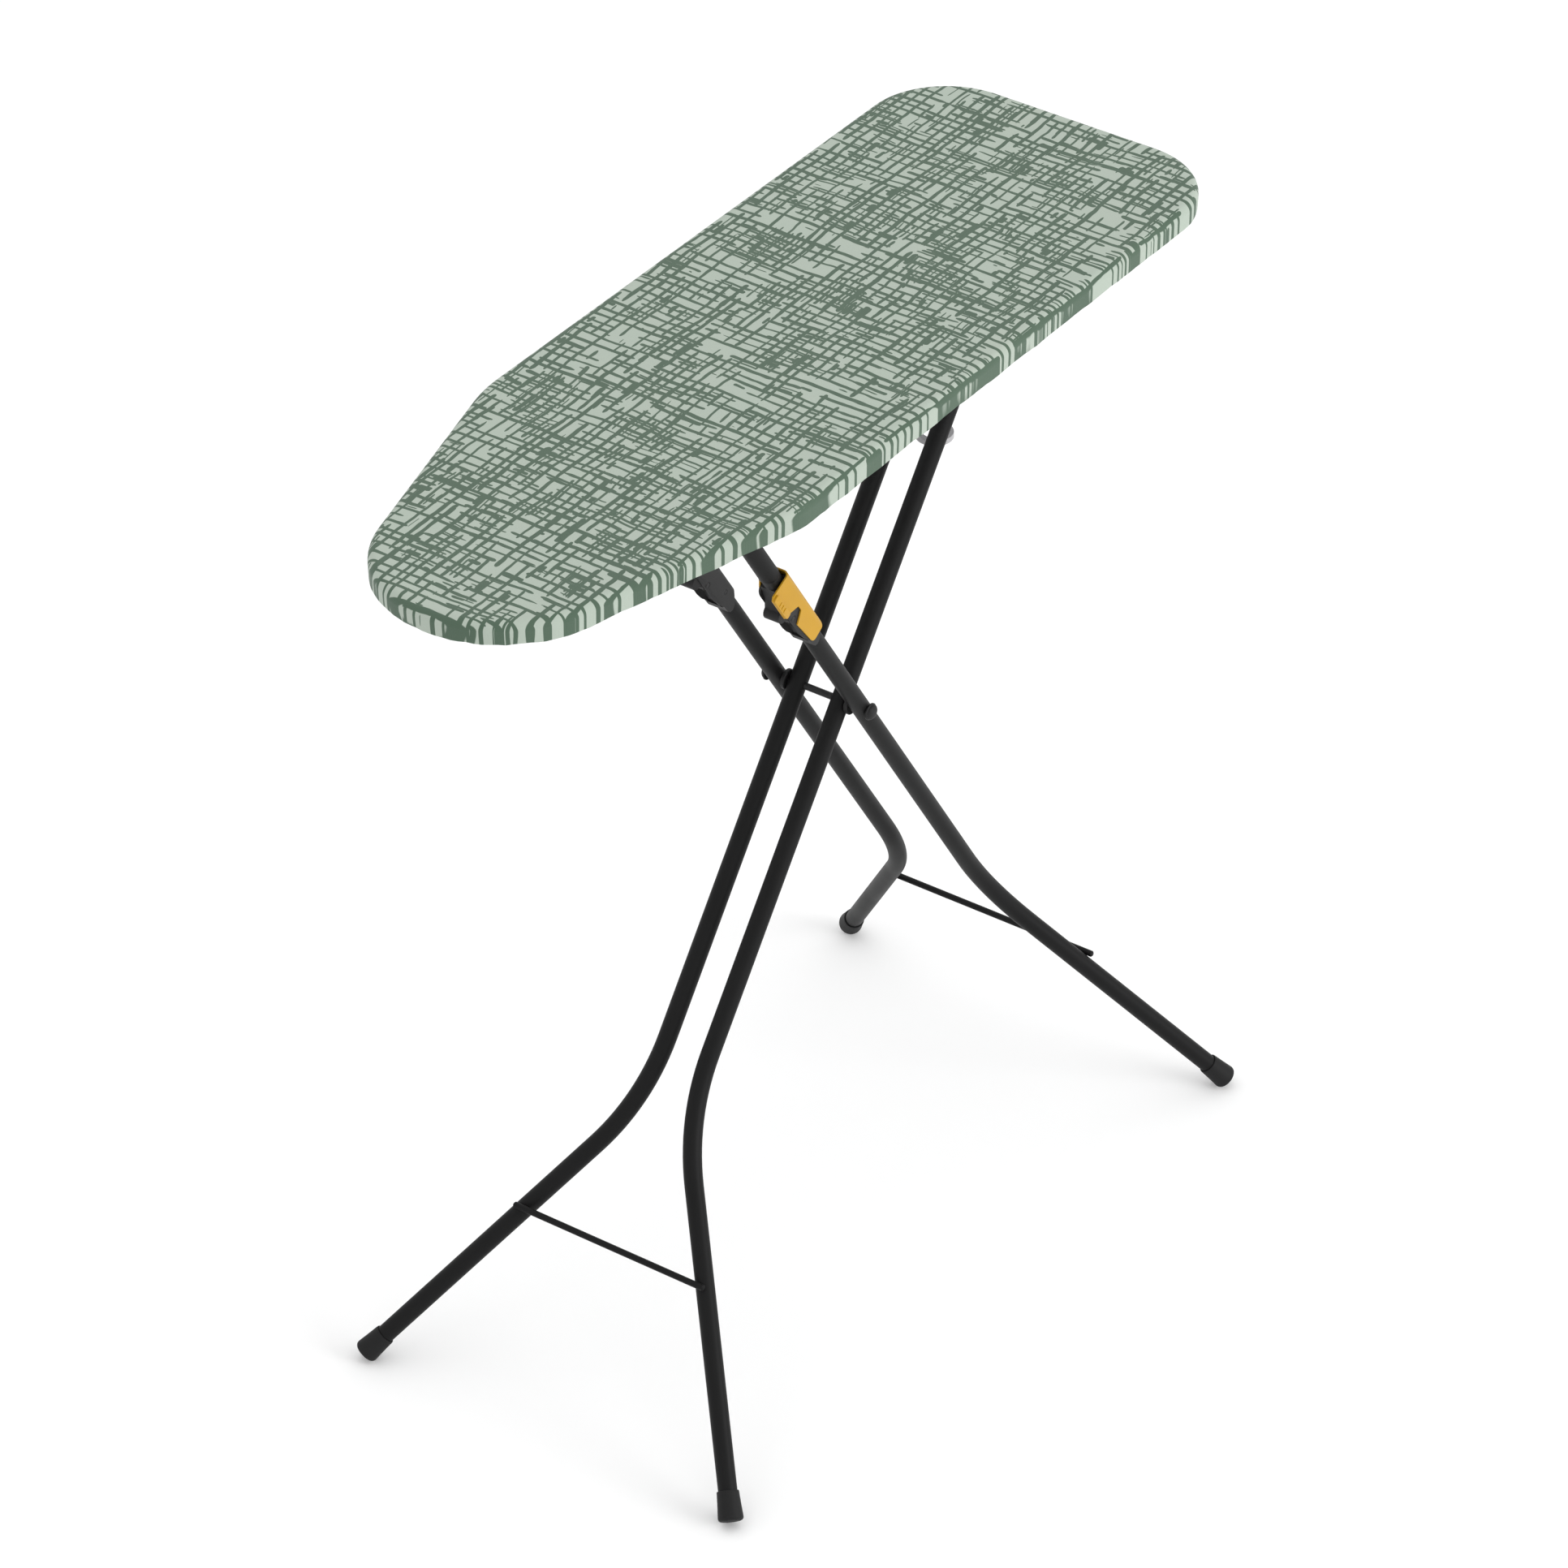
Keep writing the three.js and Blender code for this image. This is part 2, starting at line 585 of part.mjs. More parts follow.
// scissor axle, its end caps and the washers between the two frames
const capFoot = outerHalf + tubeRadius + TOUCH_GAP;
const capDepth = 5;
const axleHalf = capFoot + 2.5;
add('scissor_axle', 'dark_steel', rodY(axleRadius, 0, 0, -axleHalf, axleHalf, 24), outerFrame);
for (const [label, side] of SIDES) {
  const bore = axleRadius + SEAT_CLEARANCE;
  const profile = [
    [0, axleHalf + TOUCH_GAP], [bore, axleHalf + TOUCH_GAP], [bore, capFoot], [7.5, capFoot],
    [7.5, capFoot + 1.8], [6.2, capFoot + 3.8], [3.6, capFoot + capDepth], [0, capFoot + capDepth + 0.3],
  ];
  const cap = turnedY(profile, 0, 0, 20);
  add(`axle_cap_${label}`, 'black_plastic', side < 0 ? cap.rotateZ(Math.PI) : cap, outerFrame);
  const low = innerHalf + tubeRadius + TOUCH_GAP;
  const high = outerHalf - tubeRadius - TOUCH_GAP;
  const washer = turnedY([[bore, low], [9, low], [9, high], [bore, high], [bore, low]], 0, 0, 20);
  add(`axle_washer_${label}`, 'black_plastic', side < 0 ? washer.rotateZ(Math.PI) : washer, outerFrame);
}

// ---------------------------------------------------------------- knuckles

// Cross-section in the local y-z plane, extruded up the leg.
function barX(shape, x0, x1, yShift) {
  const g = new THREE.ExtrudeGeometry(shape, { depth: x1 - x0, bevelEnabled: false, curveSegments: 3 });
  const m = new THREE.Matrix4().makeBasis(
    new THREE.Vector3(0, 1, 0),
    new THREE.Vector3(0, 0, 1),
    new THREE.Vector3(1, 0, 0),
  );
  return g.applyMatrix4(m).translate(x0, yShift, 0);
}

function cylinderX(radius, x0, x1, y, sides = 20) {
  const g = new THREE.CylinderGeometry(radius, radius, x1 - x0, sides);
  return g.rotateZ(-Math.PI / 2).translate((x0 + x1) / 2, y, 0);
}

function intersectSolids(a, b) {
  return fromSolid(solid(a).intersect(solid(b)));
}

const pinX = KNUCKLE_PIN_RISE;
const pinZ = housingFront - KNUCKLE_PIN_INSET; // floor side of the leg's centre line
const pinRadius = KNUCKLE_PIN_DIAMETER / 2;
const tongueHalf = housingHalf - HOUSING_CHEEK - 0.4;
const tongueBack = housingBack - HOUSING_CHEEK - 0.4;

for (const [label, side] of SIDES) {
  const y = side * outerHalf;

  // moulded housing riveted on the lower tube, forked at its top
  const profile = new THREE.Shape();
  profile.moveTo(HOUSING_LOW + 12, -housingBack + 3);
  profile.lineTo(HOUSING_LOW + 14, -housingBack);
  profile.lineTo(HOUSING_HIGH, -housingBack);
  profile.lineTo(HOUSING_HIGH, housingFront - 5);
  profile.lineTo(HOUSING_HIGH - 5, housingFront);
  profile.lineTo(HOUSING_LOW + 36, housingFront);
  profile.lineTo(HOUSING_LOW + 20, housingFront - 2.6);
  profile.lineTo(HOUSING_LOW + 14, housingFront - 4.6);
  profile.lineTo(HOUSING_LOW + 5, housingFront - 5);
  profile.lineTo(HOUSING_LOW + 1.5, housingFront - 6.5);
  profile.lineTo(HOUSING_LOW, housingFront - 9.5);
  profile.lineTo(HOUSING_LOW + 1.5, 0);
  const section = roundedRect(
    -housingHalf, housingHalf, -housingBack, housingFront, HOUSING_ROUNDING,
  );
  const blank = intersectSolids(
    plateXZ(profile, y - 20, y + 20),
    barX(section, HOUSING_LOW - 2, HOUSING_HIGH + 2, y),
  );
  const slotHalf = housingHalf - HOUSING_CHEEK;
  add(`knuckle_housing_${label}`, 'black_plastic', cut(
    blank,
    cylinderX(tubeRadius + SEAT_CLEARANCE, HOUSING_LOW - 5, HOUSING_THROAT, y),
    box(HOUSING_THROAT, HOUSING_HIGH + 5, y - slotHalf, y + slotHalf, -housingBack + HOUSING_CHEEK, 30),
    box(HOUSING_RELIEF, HOUSING_HIGH + 5, y - slotHalf, y + slotHalf, tubeRadius - 1, 30),
    rodY(pinRadius + SEAT_CLEARANCE, pinX, pinZ, y - 20, y + 20, 16),
    rodY(RIVET_DIAMETER / 2 + SEAT_CLEARANCE, RIVET_RISE, 0, y - 20, y + 20, 12),
  ), outerFrame);

  // collar, tongue and finger on the end of the upper tube
  const tongue = new THREE.Shape();
  tongue.moveTo(COLLAR_LOW + 0.5, -tongueBack);
  tongue.lineTo(COLLAR_LOW + 0.5, 8);
  tongue.lineTo(pinX + 26, 11.5);
  tongue.absarc(pinX + 12.5, 15.2, 6.4, 0.1, Math.PI - 0.1);
  tongue.lineTo(pinX + 1, housingFront - 0.2);
  tongue.absarc(pinX, pinZ - 1.5, 6.2, 0.6 * Math.PI, 1.4 * Math.PI);
  tongue.lineTo(pinX + 4, -tongueBack);
  const plug = upperRadius - TUBE_WALL - SEAT_CLEARANCE;
  add(`knuckle_tongue_${label}`, 'black_plastic', cut(
    join(
      plateXZ(tongue, y - tongueHalf, y + tongueHalf, 4),
      cylinderX(upperRadius - 0.4, COLLAR_LOW, COLLAR_HIGH, y, 24),
      cylinderX(plug, COLLAR_HIGH - 0.5, COLLAR_HIGH + 20, y, 16),
    ),
    rodY(pinRadius + RUNNING_CLEARANCE, pinX, pinZ, y - 20, y + 20, 16),
  ), outerFrame);

  const pinHalf = housingHalf;
  add(`knuckle_pin_${label}`, 'dark_steel',
    rodY(pinRadius, pinX, pinZ, y - pinHalf, y + pinHalf, 16), outerFrame);
  add(`housing_rivet_${label}`, 'dark_steel',
    rodY(RIVET_DIAMETER / 2, RIVET_RISE, 0, y - pinHalf, y + pinHalf, 12), outerFrame);
}

// sliding lock over the near knuckle
const sliderInner = housingHalf + SLIDER_GAP;
const sliderOuter = sliderInner + SLIDER_WALL;
const sliderTop = -(housingBack + SLIDER_GAP);
const faceShape = new THREE.Shape();
faceShape.absarc(SLIDER_LOW + 6, sliderTop - SLIDER_WALL + 6, 6, Math.PI, 1.5 * Math.PI);
faceShape.lineTo(SLIDER_HIGH - 3, sliderTop - SLIDER_WALL);
faceShape.lineTo(SLIDER_HIGH - 2, -3);
faceShape.lineTo(SLIDER_HIGH, SLIDER_FRONT - 3);
faceShape.lineTo(SLIDER_HIGH - 3, SLIDER_FRONT);
faceShape.lineTo(SLIDER_HIGH - 33, SLIDER_FRONT);
faceShape.lineTo(SLIDER_HIGH - 36, SLIDER_FRONT - 3);
faceShape.lineTo(SLIDER_HIGH - 36, SLIDER_FRONT - 7);
faceShape.lineTo(SLIDER_HIGH - 42, 0.5);
faceShape.lineTo(SLIDER_HIGH - 49, 0.5);
faceShape.lineTo(SLIDER_HIGH - 56, SLIDER_FRONT - 6.5);
faceShape.absarc(SLIDER_LOW + 5, SLIDER_FRONT - 14, 5, Math.PI / 2, Math.PI);
const backShape = new THREE.Shape();
backShape.moveTo(SLIDER_LOW + 50, sliderTop - SLIDER_WALL);
backShape.lineTo(SLIDER_HIGH - 5, sliderTop - SLIDER_WALL);
backShape.lineTo(SLIDER_HIGH - 5, 3);
backShape.lineTo(SLIDER_HIGH - 12, 7.5);
backShape.lineTo(SLIDER_LOW + 50, 7.5);
const nearY = -outerHalf;
const padRidges = [-24, -19, -14].map((x) => box(
  SLIDER_HIGH + x, SLIDER_HIGH + x + 1.6, nearY - sliderOuter - PAD_RISE - 0.5, nearY - sliderOuter,
  SLIDER_FRONT - 5.5, SLIDER_FRONT - 1.5,
));
const innerRounding = HOUSING_ROUNDING + SLIDER_GAP;
const channel = cut(
  barX(
    roundedRect(-sliderOuter, sliderOuter, sliderTop - SLIDER_WALL, 60, innerRounding + SLIDER_WALL),
    SLIDER_LOW, SLIDER_HIGH, nearY,
  ),
  barX(
    roundedRect(-sliderInner, sliderInner, sliderTop, 90, innerRounding),
    SLIDER_LOW - 1, SLIDER_HIGH + 1, nearY,
  ),
);
const sliderReach = join(
  plateXZ(faceShape, nearY - sliderOuter - 1, nearY - 2),
  box(SLIDER_LOW + 6, SLIDER_HIGH - 3, nearY - 3, nearY + sliderOuter + 1,
    sliderTop - SLIDER_WALL - 1, sliderTop + innerRounding),
  plateXZ(backShape, nearY + 2, nearY + sliderOuter + 1),
);
add('lock_slider', 'amber_plastic', join(
  intersectSolids(channel, sliderReach),
  plateXZ(
    roundedRect(SLIDER_HIGH - 34, SLIDER_HIGH - 2, SLIDER_FRONT - 7, SLIDER_FRONT - 0.3, 2.5),
    nearY - sliderOuter - PAD_RISE,
    nearY - sliderOuter + 0.3,
    3,
  ),
  ...padRidges,
), outerFrame);

// ---------------------------------------------------------------- front pivot on the deck

const pivotReach = outerHalf + upperRadius + 1.2;
const pivotPinHalf = pivotReach + BRACKET_THICKNESS + 1;
for (const [label, side] of SIDES) {
  const cheek = new THREE.Shape();
  const half = BRACKET_WIDTH / 2;
  const cheekTop = deckBottom - TOUCH_GAP;
  cheek.moveTo(topPinX - half, cheekTop);
  cheek.lineTo(topPinX - half, cheekTop - 8);
  cheek.absarc(topPinX, topPinHeight, 9, Math.PI, 2 * Math.PI);
  cheek.lineTo(topPinX + half, cheekTop - 8);
  cheek.lineTo(topPinX + half, cheekTop);
  const y0 = side < 0 ? -pivotReach - BRACKET_THICKNESS : pivotReach;
  const y1 = y0 + BRACKET_THICKNESS;
  const flangeFrom = side < 0 ? y0 - BRACKET_FLANGE : y0;
  add(`pivot_bracket_${label}`, 'dark_steel', cut(
    join(
      plateXZ(cheek, y0, y1, 6),
      box(topPinX - half, topPinX + half, flangeFrom, flangeFrom + BRACKET_FLANGE + BRACKET_THICKNESS,
        cheekTop - BRACKET_THICKNESS, cheekTop),
    ),
    rodY(topPinRadius + SEAT_CLEARANCE, topPinX, topPinHeight, y0 - 2, y1 + 2),
  ));
}
add('pivot_pin', 'zinc_steel', turnedY([
  [0, -pivotPinHalf - 2.5], [6, -pivotPinHalf - 2], [6, -pivotPinHalf], [topPinRadius, -pivotPinHalf],
  [topPinRadius, pivotPinHalf], [6, pivotPinHalf], [6, pivotPinHalf + 2], [0, pivotPinHalf + 2.5],
], topPinX, topPinHeight));

// two ribs along the underside of the deck, clear of the leg pins' brackets
const ribTop = deckBottom - TOUCH_GAP;
const ribFrom = topPinX + BRACKET_WIDTH / 2 + 20;
const ribTo = topBarX - LEVER_SETBACK - 24;
for (const [label, side] of SIDES) {
  const rib = new THREE.Shape();
  const half = RIB_WIDTH / 2;
  rib.moveTo(-half, 0);
  rib.lineTo(-half, -1);
  rib.lineTo(-half + 6, -1);
  rib.lineTo(-half + 8, -RIB_DEPTH);
  rib.lineTo(half - 8, -RIB_DEPTH);
  rib.lineTo(half - 6, -1);
  rib.lineTo(half, -1);
  rib.lineTo(half, 0);
  rib.lineTo(half - 7, 0);
  rib.lineTo(half - 9, 1 - RIB_DEPTH);
  rib.lineTo(-half + 9, 1 - RIB_DEPTH);
  rib.lineTo(-half + 7, 0);
  add(`deck_rib_${label}`, 'deck_steel',
    barX(rib, ribFrom, ribTo, side * RIB_TRACK / 2).translate(0, 0, ribTop));
}

// ---------------------------------------------------------------- height rack and lever

const rackLow = topPinHeight + topBarRadius + RACK_CLEARANCE;
const rackHigh = deckBottom - TOUCH_GAP;
const leverX = topBarX - LEVER_SETBACK;
const leverZ = rackLow + 7.5;
const leverRadius = LEVER_ROD_DIAMETER / 2;
for (const [label, side] of SIDES) {
  const from = topBarX - RACK_LEAD;
  const to = topBarX + (RACK_NOTCHES - 0.5) * RACK_STEP;
  const notch = topBarRadius + RACK_CLEARANCE;
  const rail = new THREE.Shape();
  rail.moveTo(from, rackHigh);
  rail.lineTo(from, rackLow);
  for (let i = 0; i < RACK_NOTCHES; i += 1) {
    const x = topBarX + i * RACK_STEP;
    rail.lineTo(x - notch, rackLow);
    rail.absarc(x, rackLow, notch, Math.PI, 0, true);
  }
  rail.lineTo(to, rackLow);
  rail.lineTo(to, rackHigh);
  const y0 = side * RACK_TRACK / 2 - RACK_THICKNESS / 2;
  const flange = side < 0 ? [y0 - 12, y0 + RACK_THICKNESS] : [y0, y0 + RACK_THICKNESS + 12];
  add(`height_rack_${label}`, 'zinc_steel', cut(
    join(
      plateXZ(rail, y0, y0 + RACK_THICKNESS, 6),
      box(from, to, flange[0], flange[1], rackHigh - 1.5, rackHigh),
    ),
    rodY(leverRadius + RUNNING_CLEARANCE, leverX, leverZ, y0 - 2, y0 + RACK_THICKNESS + 2, 16),
  ));
}

const pawlY = RACK_TRACK / 2 - RACK_THICKNESS / 2 - PAWL_GAP - PAWL_THICKNESS;
const leverNear = -(BOARD_WIDTH / 2 - coverInset - HEM_WIDTH - 2);
const leverFar = pawlY + PAWL_THICKNESS + 12;
add('lever_rod', 'zinc_steel', rodY(leverRadius, leverX, leverZ, leverNear, leverFar, 16));
for (const [label, y0] of [['near', -pawlY - PAWL_THICKNESS], ['far', pawlY]]) {
  const pawl = new THREE.Shape();
  pawl.moveTo(leverX, leverZ + 5);
  pawl.absarc(leverX, leverZ, 5, Math.PI / 2, 1.5 * Math.PI);
  pawl.lineTo(topBarX - 10, leverZ - 4.5);
  pawl.lineTo(topBarX - 7, rackLow + 0.4);
  pawl.lineTo(topBarX - 5, rackLow + 0.4);
  pawl.absarc(topBarX, rackLow + 0.4, 4.6, Math.PI, 0, true);
  pawl.lineTo(topBarX + 8, rackLow + 0.4);
  pawl.lineTo(topBarX + 9, leverZ + 2.5);
  pawl.lineTo(topBarX, leverZ + 3);
  add(`lever_pawl_${label}`, 'zinc_steel', cut(
    plateXZ(pawl, y0, y0 + PAWL_THICKNESS, 5),
    rodY(leverRadius + SEAT_CLEARANCE, leverX, leverZ, y0 - 2, y0 + PAWL_THICKNESS + 2, 16),
  ));
}
const gripShape = new THREE.Shape();
gripShape.moveTo(leverX + 1, leverZ + 5.5);
gripShape.absarc(leverX + 1, leverZ, 5.5, Math.PI / 2, -Math.PI / 2, true);
gripShape.lineTo(leverX - 6, leverZ - 6);
gripShape.lineTo(leverX - 38, leverZ - 15);
gripShape.absarc(leverX - 39, leverZ - 12, 3, -Math.PI / 2, -1.5 * Math.PI, true);
gripShape.lineTo(leverX - 8, leverZ + 3);
add('lever_grip', 'grey_plastic', cut(
  plateXZ(gripShape, leverNear - 1, leverNear + 27, 5),
  rodY(leverRadius + SEAT_CLEARANCE, leverX, leverZ, leverNear - 0.5, leverNear + 40, 16),
));
for (const [label, y] of [['near', leverNear + 36], ['far', 18]]) {
  add(`lever_bearing_${label}`, 'black_plastic', cut(
    box(leverX - 6, leverX + 6, y - 5, y + 5, leverZ - 5, deckBottom - TOUCH_GAP),
    rodY(leverRadius + RUNNING_CLEARANCE, leverX, leverZ, y - 8, y + 8, 16),
  ));
}

// ---------------------------------------------------------------- cord clip

const clipTube = new THREE.Vector3(CLIP_RISE, -innerHalf, 0).applyMatrix4(innerFrame);
const clipReach = Math.hypot(CLIP_SETBACK, CLIP_SHIFT);
const clipPlace = new THREE.Matrix4().makeRotationZ(Math.atan2(CLIP_SHIFT, CLIP_SETBACK));
clipPlace.setPosition(
  clipTube.x + CLIP_SETBACK,
  clipTube.y + CLIP_SHIFT,
  clipTube.z - CLIP_HEIGHT / 2,
);
const clipRing = new THREE.Shape().absarc(0, 0, CLIP_OUTER_DIAMETER / 2, 0, 2 * Math.PI);
clipRing.holes.push(new THREE.Path().absarc(0, 0, CLIP_INNER_DIAMETER / 2, 0, 2 * Math.PI, true));
const ring = new THREE.ExtrudeGeometry(clipRing, {
  depth: CLIP_HEIGHT, bevelEnabled: false, curveSegments: 14,
});
const saddleFrom = 2 - CLIP_OUTER_DIAMETER / 2;
const saddleHalf = SADDLE_WIDTH / 2;
const saddle = box(-clipReach, saddleFrom, -saddleHalf, saddleHalf, 0, CLIP_HEIGHT);
const legSpace = cylinderX(tubeRadius + TOUCH_GAP, CLIP_RISE - 60, CLIP_RISE + 60, -innerHalf, 32);
add('cord_clip', 'grey_plastic', cut(
  join(ring, saddle).applyMatrix4(clipPlace),
  legSpace.applyMatrix4(innerFrame),
));

export default board;
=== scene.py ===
"""A folding ironing board: fabric cover over a foam pad and a steel deck, carried by a black
scissor stand whose outer legs have a hinged knuckle with a sliding lock. Metres, +Z up,
+X from the round nose to the square rear end."""
import math

import bmesh
import bpy
from mathutils import Matrix, Vector, noise


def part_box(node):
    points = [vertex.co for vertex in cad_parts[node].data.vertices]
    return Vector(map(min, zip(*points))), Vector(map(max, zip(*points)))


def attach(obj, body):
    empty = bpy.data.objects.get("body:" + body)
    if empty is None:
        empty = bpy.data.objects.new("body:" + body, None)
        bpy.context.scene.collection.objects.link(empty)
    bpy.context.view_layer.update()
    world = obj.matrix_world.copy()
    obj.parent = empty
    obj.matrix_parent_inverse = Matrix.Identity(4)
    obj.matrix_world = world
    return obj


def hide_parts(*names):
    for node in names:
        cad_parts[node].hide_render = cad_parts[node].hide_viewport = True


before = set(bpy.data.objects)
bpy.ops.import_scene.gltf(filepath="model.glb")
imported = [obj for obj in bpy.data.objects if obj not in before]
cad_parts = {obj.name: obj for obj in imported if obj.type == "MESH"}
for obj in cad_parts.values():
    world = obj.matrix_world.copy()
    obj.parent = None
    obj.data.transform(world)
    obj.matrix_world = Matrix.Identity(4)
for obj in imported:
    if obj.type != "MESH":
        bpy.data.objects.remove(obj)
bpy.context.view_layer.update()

# ---------------------------------------------------------------- deck, edge band and ribs
# Pressed sheet steel with steam vents, stiffened by a folded edge band and two hat ribs that are
# spot welded underneath. It is coated with a thin pale grey paint.

SAME_PLACE = 1e-6  # points and levels closer than this are one
FLAT_WITHIN = math.radians(1.5)
EDGE_FROM = math.radians(38)
GLOSS_SPREAD = 0.07


def surface(
    name, colour, roughness, metallic=0.0, grain_mm=1.2, grain_depth=0.00006, mottle=0.08, shine=0.5
):
    """A coated, plated or moulded finish: fine grain, and slightly uneven colour and gloss."""
    material = bpy.data.materials.new(name)
    material.use_nodes = True
    nodes, links = material.node_tree.nodes, material.node_tree.links
    shader = nodes["Principled BSDF"]
    shader.inputs["Metallic"].default_value = metallic
    shader.inputs["Specular IOR Level"].default_value = shine
    place = nodes.new("ShaderNodeTexCoord")
    clouds = nodes.new("ShaderNodeTexNoise")
    clouds.inputs["Scale"].default_value = 28.0
    clouds.inputs["Detail"].default_value = 5.0
    links.new(place.outputs["Object"], clouds.inputs["Vector"])
    tint = nodes.new("ShaderNodeValToRGB")
    tint.color_ramp.elements[0].position = 0.3
    tint.color_ramp.elements[1].position = 0.7
    tint.color_ramp.elements[0].color = [c * (1 - mottle) for c in colour] + [1]
    tint.color_ramp.elements[1].color = [min(1, c * (1 + mottle)) for c in colour] + [1]
    links.new(clouds.outputs["Fac"], tint.inputs["Fac"])
    links.new(tint.outputs["Color"], shader.inputs["Base Color"])
    gloss = nodes.new("ShaderNodeMapRange")
    gloss.inputs["To Min"].default_value = roughness - GLOSS_SPREAD
    gloss.inputs["To Max"].default_value = roughness + GLOSS_SPREAD
    links.new(clouds.outputs["Fac"], gloss.inputs["Value"])
    links.new(gloss.outputs["Result"], shader.inputs["Roughness"])
    grain = nodes.new("ShaderNodeTexNoise")
    grain.inputs["Scale"].default_value = 1000 / grain_mm
    grain.inputs["Detail"].default_value = 2.0
    links.new(place.outputs["Object"], grain.inputs["Vector"])
    bump = nodes.new("ShaderNodeBump")
    bump.inputs["Distance"].default_value = grain_depth
    bump.inputs["Strength"].default_value = 1.0
    links.new(grain.outputs["Fac"], bump.inputs["Height"])
    links.new(bump.outputs["Normal"], shader.inputs["Normal"])
    return material


def finish_node(node, material):
    """Gives a CAD node, kept as it is, its finish."""
    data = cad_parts[node].data
    data.materials.clear()
    data.materials.append(material)


def mesh_piece(name, bm, material, body, stands_for=(), smooth_below=40):
    """Turns a finished bmesh into a piece that rides on a body. Edges sharper than smooth_below
    degrees stay crisp."""
    bmesh.ops.remove_doubles(bm, verts=bm.verts, dist=SAME_PLACE)
    bmesh.ops.recalc_face_normals(bm, faces=bm.faces)
    data = bpy.data.meshes.new(name)
    bm.to_mesh(data)
    bm.free()
    for face in data.polygons:
        face.use_smooth = True
    data.set_sharp_from_angle(angle=math.radians(smooth_below))
    data.materials.append(material)
    piece = bpy.data.objects.new(name, data)
    bpy.context.scene.collection.objects.link(piece)
    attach(piece, body)
    for node in stands_for:
        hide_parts(node)
    return piece


def dressed(node, material, body, edge=0.0004):
    """A copy of a pressed or moulded CAD solid, flat faces joined and sharp edges broken."""
    bm = bmesh.new()
    bm.from_mesh(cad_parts[node].data)
    bmesh.ops.remove_doubles(bm, verts=bm.verts, dist=SAME_PLACE)
    bmesh.ops.dissolve_limit(
        bm, angle_limit=FLAT_WITHIN, verts=bm.verts, edges=bm.edges, use_dissolve_boundaries=False
    )
    piece = mesh_piece(f"{node}_finished", bm, material, body, [node], smooth_below=35)
    softened = piece.modifiers.new("edges", "BEVEL")
    softened.width = edge
    softened.segments = 2
    softened.limit_method = "ANGLE"
    softened.angle_limit = EDGE_FROM
    softened.harden_normals = True
    return piece


deck_paint = surface("deck_paint", (0.55, 0.56, 0.57), 0.5, metallic=0.15)
finish_node("deck_plate", deck_paint)
finish_node("edge_rim", deck_paint)
for side in ("near", "far"):
    dressed(f"deck_rib_{side}", deck_paint, "board", edge=0.0005)

# ---------------------------------------------------------------- foam pad
# A sheet of off-white needled felt over foam, laid loose on the deck under the cover. It has the
# board's outline: a round nose, straight tapers, soft shoulders and a squared rear end.


def only(kind, geometry):
    """The vertices, edges or faces out of an operator's result."""
    return [item for item in geometry if isinstance(item, kind)]


pad_low, pad_high = (Vector(corner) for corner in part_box("foam_pad"))
cover_low, cover_high = (Vector(corner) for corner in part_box("ironing_cover"))
HALF_LENGTH = (cover_high.x - cover_low.x) / 2
HALF_WIDTH = (cover_high.y - cover_low.y) / 2
NOSE_RADIUS = 0.1025
REAR_CORNER_RADIUS = 0.074
SHOULDER_RADIUS = 0.150
TAPER = math.radians(14.85)
LOOP_GAP = 1e-5  # what rounding may leave open where the outline meets itself
PAD_TRIM = 0.0012
PAD_ROUNDING = 0.0014
PAD_SPACING = 0.02


def board_outline(bm, inset, height, spacing=0.006):
    """The board's plan outline as a closed loop of edges, moved in by inset."""
    rear = HALF_LENGTH - inset
    half = HALF_WIDTH - inset
    nose_x = NOSE_RADIUS - HALF_LENGTH
    run = (HALF_WIDTH - NOSE_RADIUS / math.cos(TAPER)) / math.tan(TAPER)
    shoulder_x = nose_x + run + SHOULDER_RADIUS * math.tan(TAPER / 2)
    corner = REAR_CORNER_RADIUS - inset
    shoulder = SHOULDER_RADIUS - inset
    quarter = math.pi / 2
    arcs = (
        (rear - corner, half - corner, corner, 0, quarter),
        (shoulder_x, half - shoulder, shoulder, quarter, quarter + TAPER),
        (nose_x, 0, NOSE_RADIUS - inset, quarter + TAPER, 3 * quarter - TAPER),
        (shoulder_x, shoulder - half, shoulder, 3 * quarter - TAPER, 3 * quarter),
        (rear - corner, corner - half, corner, 3 * quarter, 4 * quarter),
    )
    starts = [
        Vector((x + radius * math.cos(start), y + radius * math.sin(start), height))
        for x, y, radius, start, _ in arcs
    ]
    tip = bm.verts.new(starts[0])
    for i, (x, y, radius, start, stop) in enumerate(arcs):
        steps = 2 * max(2, round((stop - start) * radius / spacing / 2))
        turn = Matrix.Rotation((stop - start) / steps, 3, "Z")
        for _ in range(steps):
            tip = bmesh.ops.extrude_vert_indiv(bm, verts=[tip])["verts"][0]
            bmesh.ops.rotate(bm, cent=(x, y, height), matrix=turn, verts=[tip])
        way = starts[(i + 1) % len(starts)] - tip.co
        steps = max(1, round(way.length / spacing))
        for _ in range(steps):
            tip = bmesh.ops.extrude_vert_indiv(bm, verts=[tip])["verts"][0]
            bmesh.ops.translate(bm, verts=[tip], vec=way / steps)
    bmesh.ops.remove_doubles(bm, verts=bm.verts, dist=LOOP_GAP)
    return list(bm.edges)


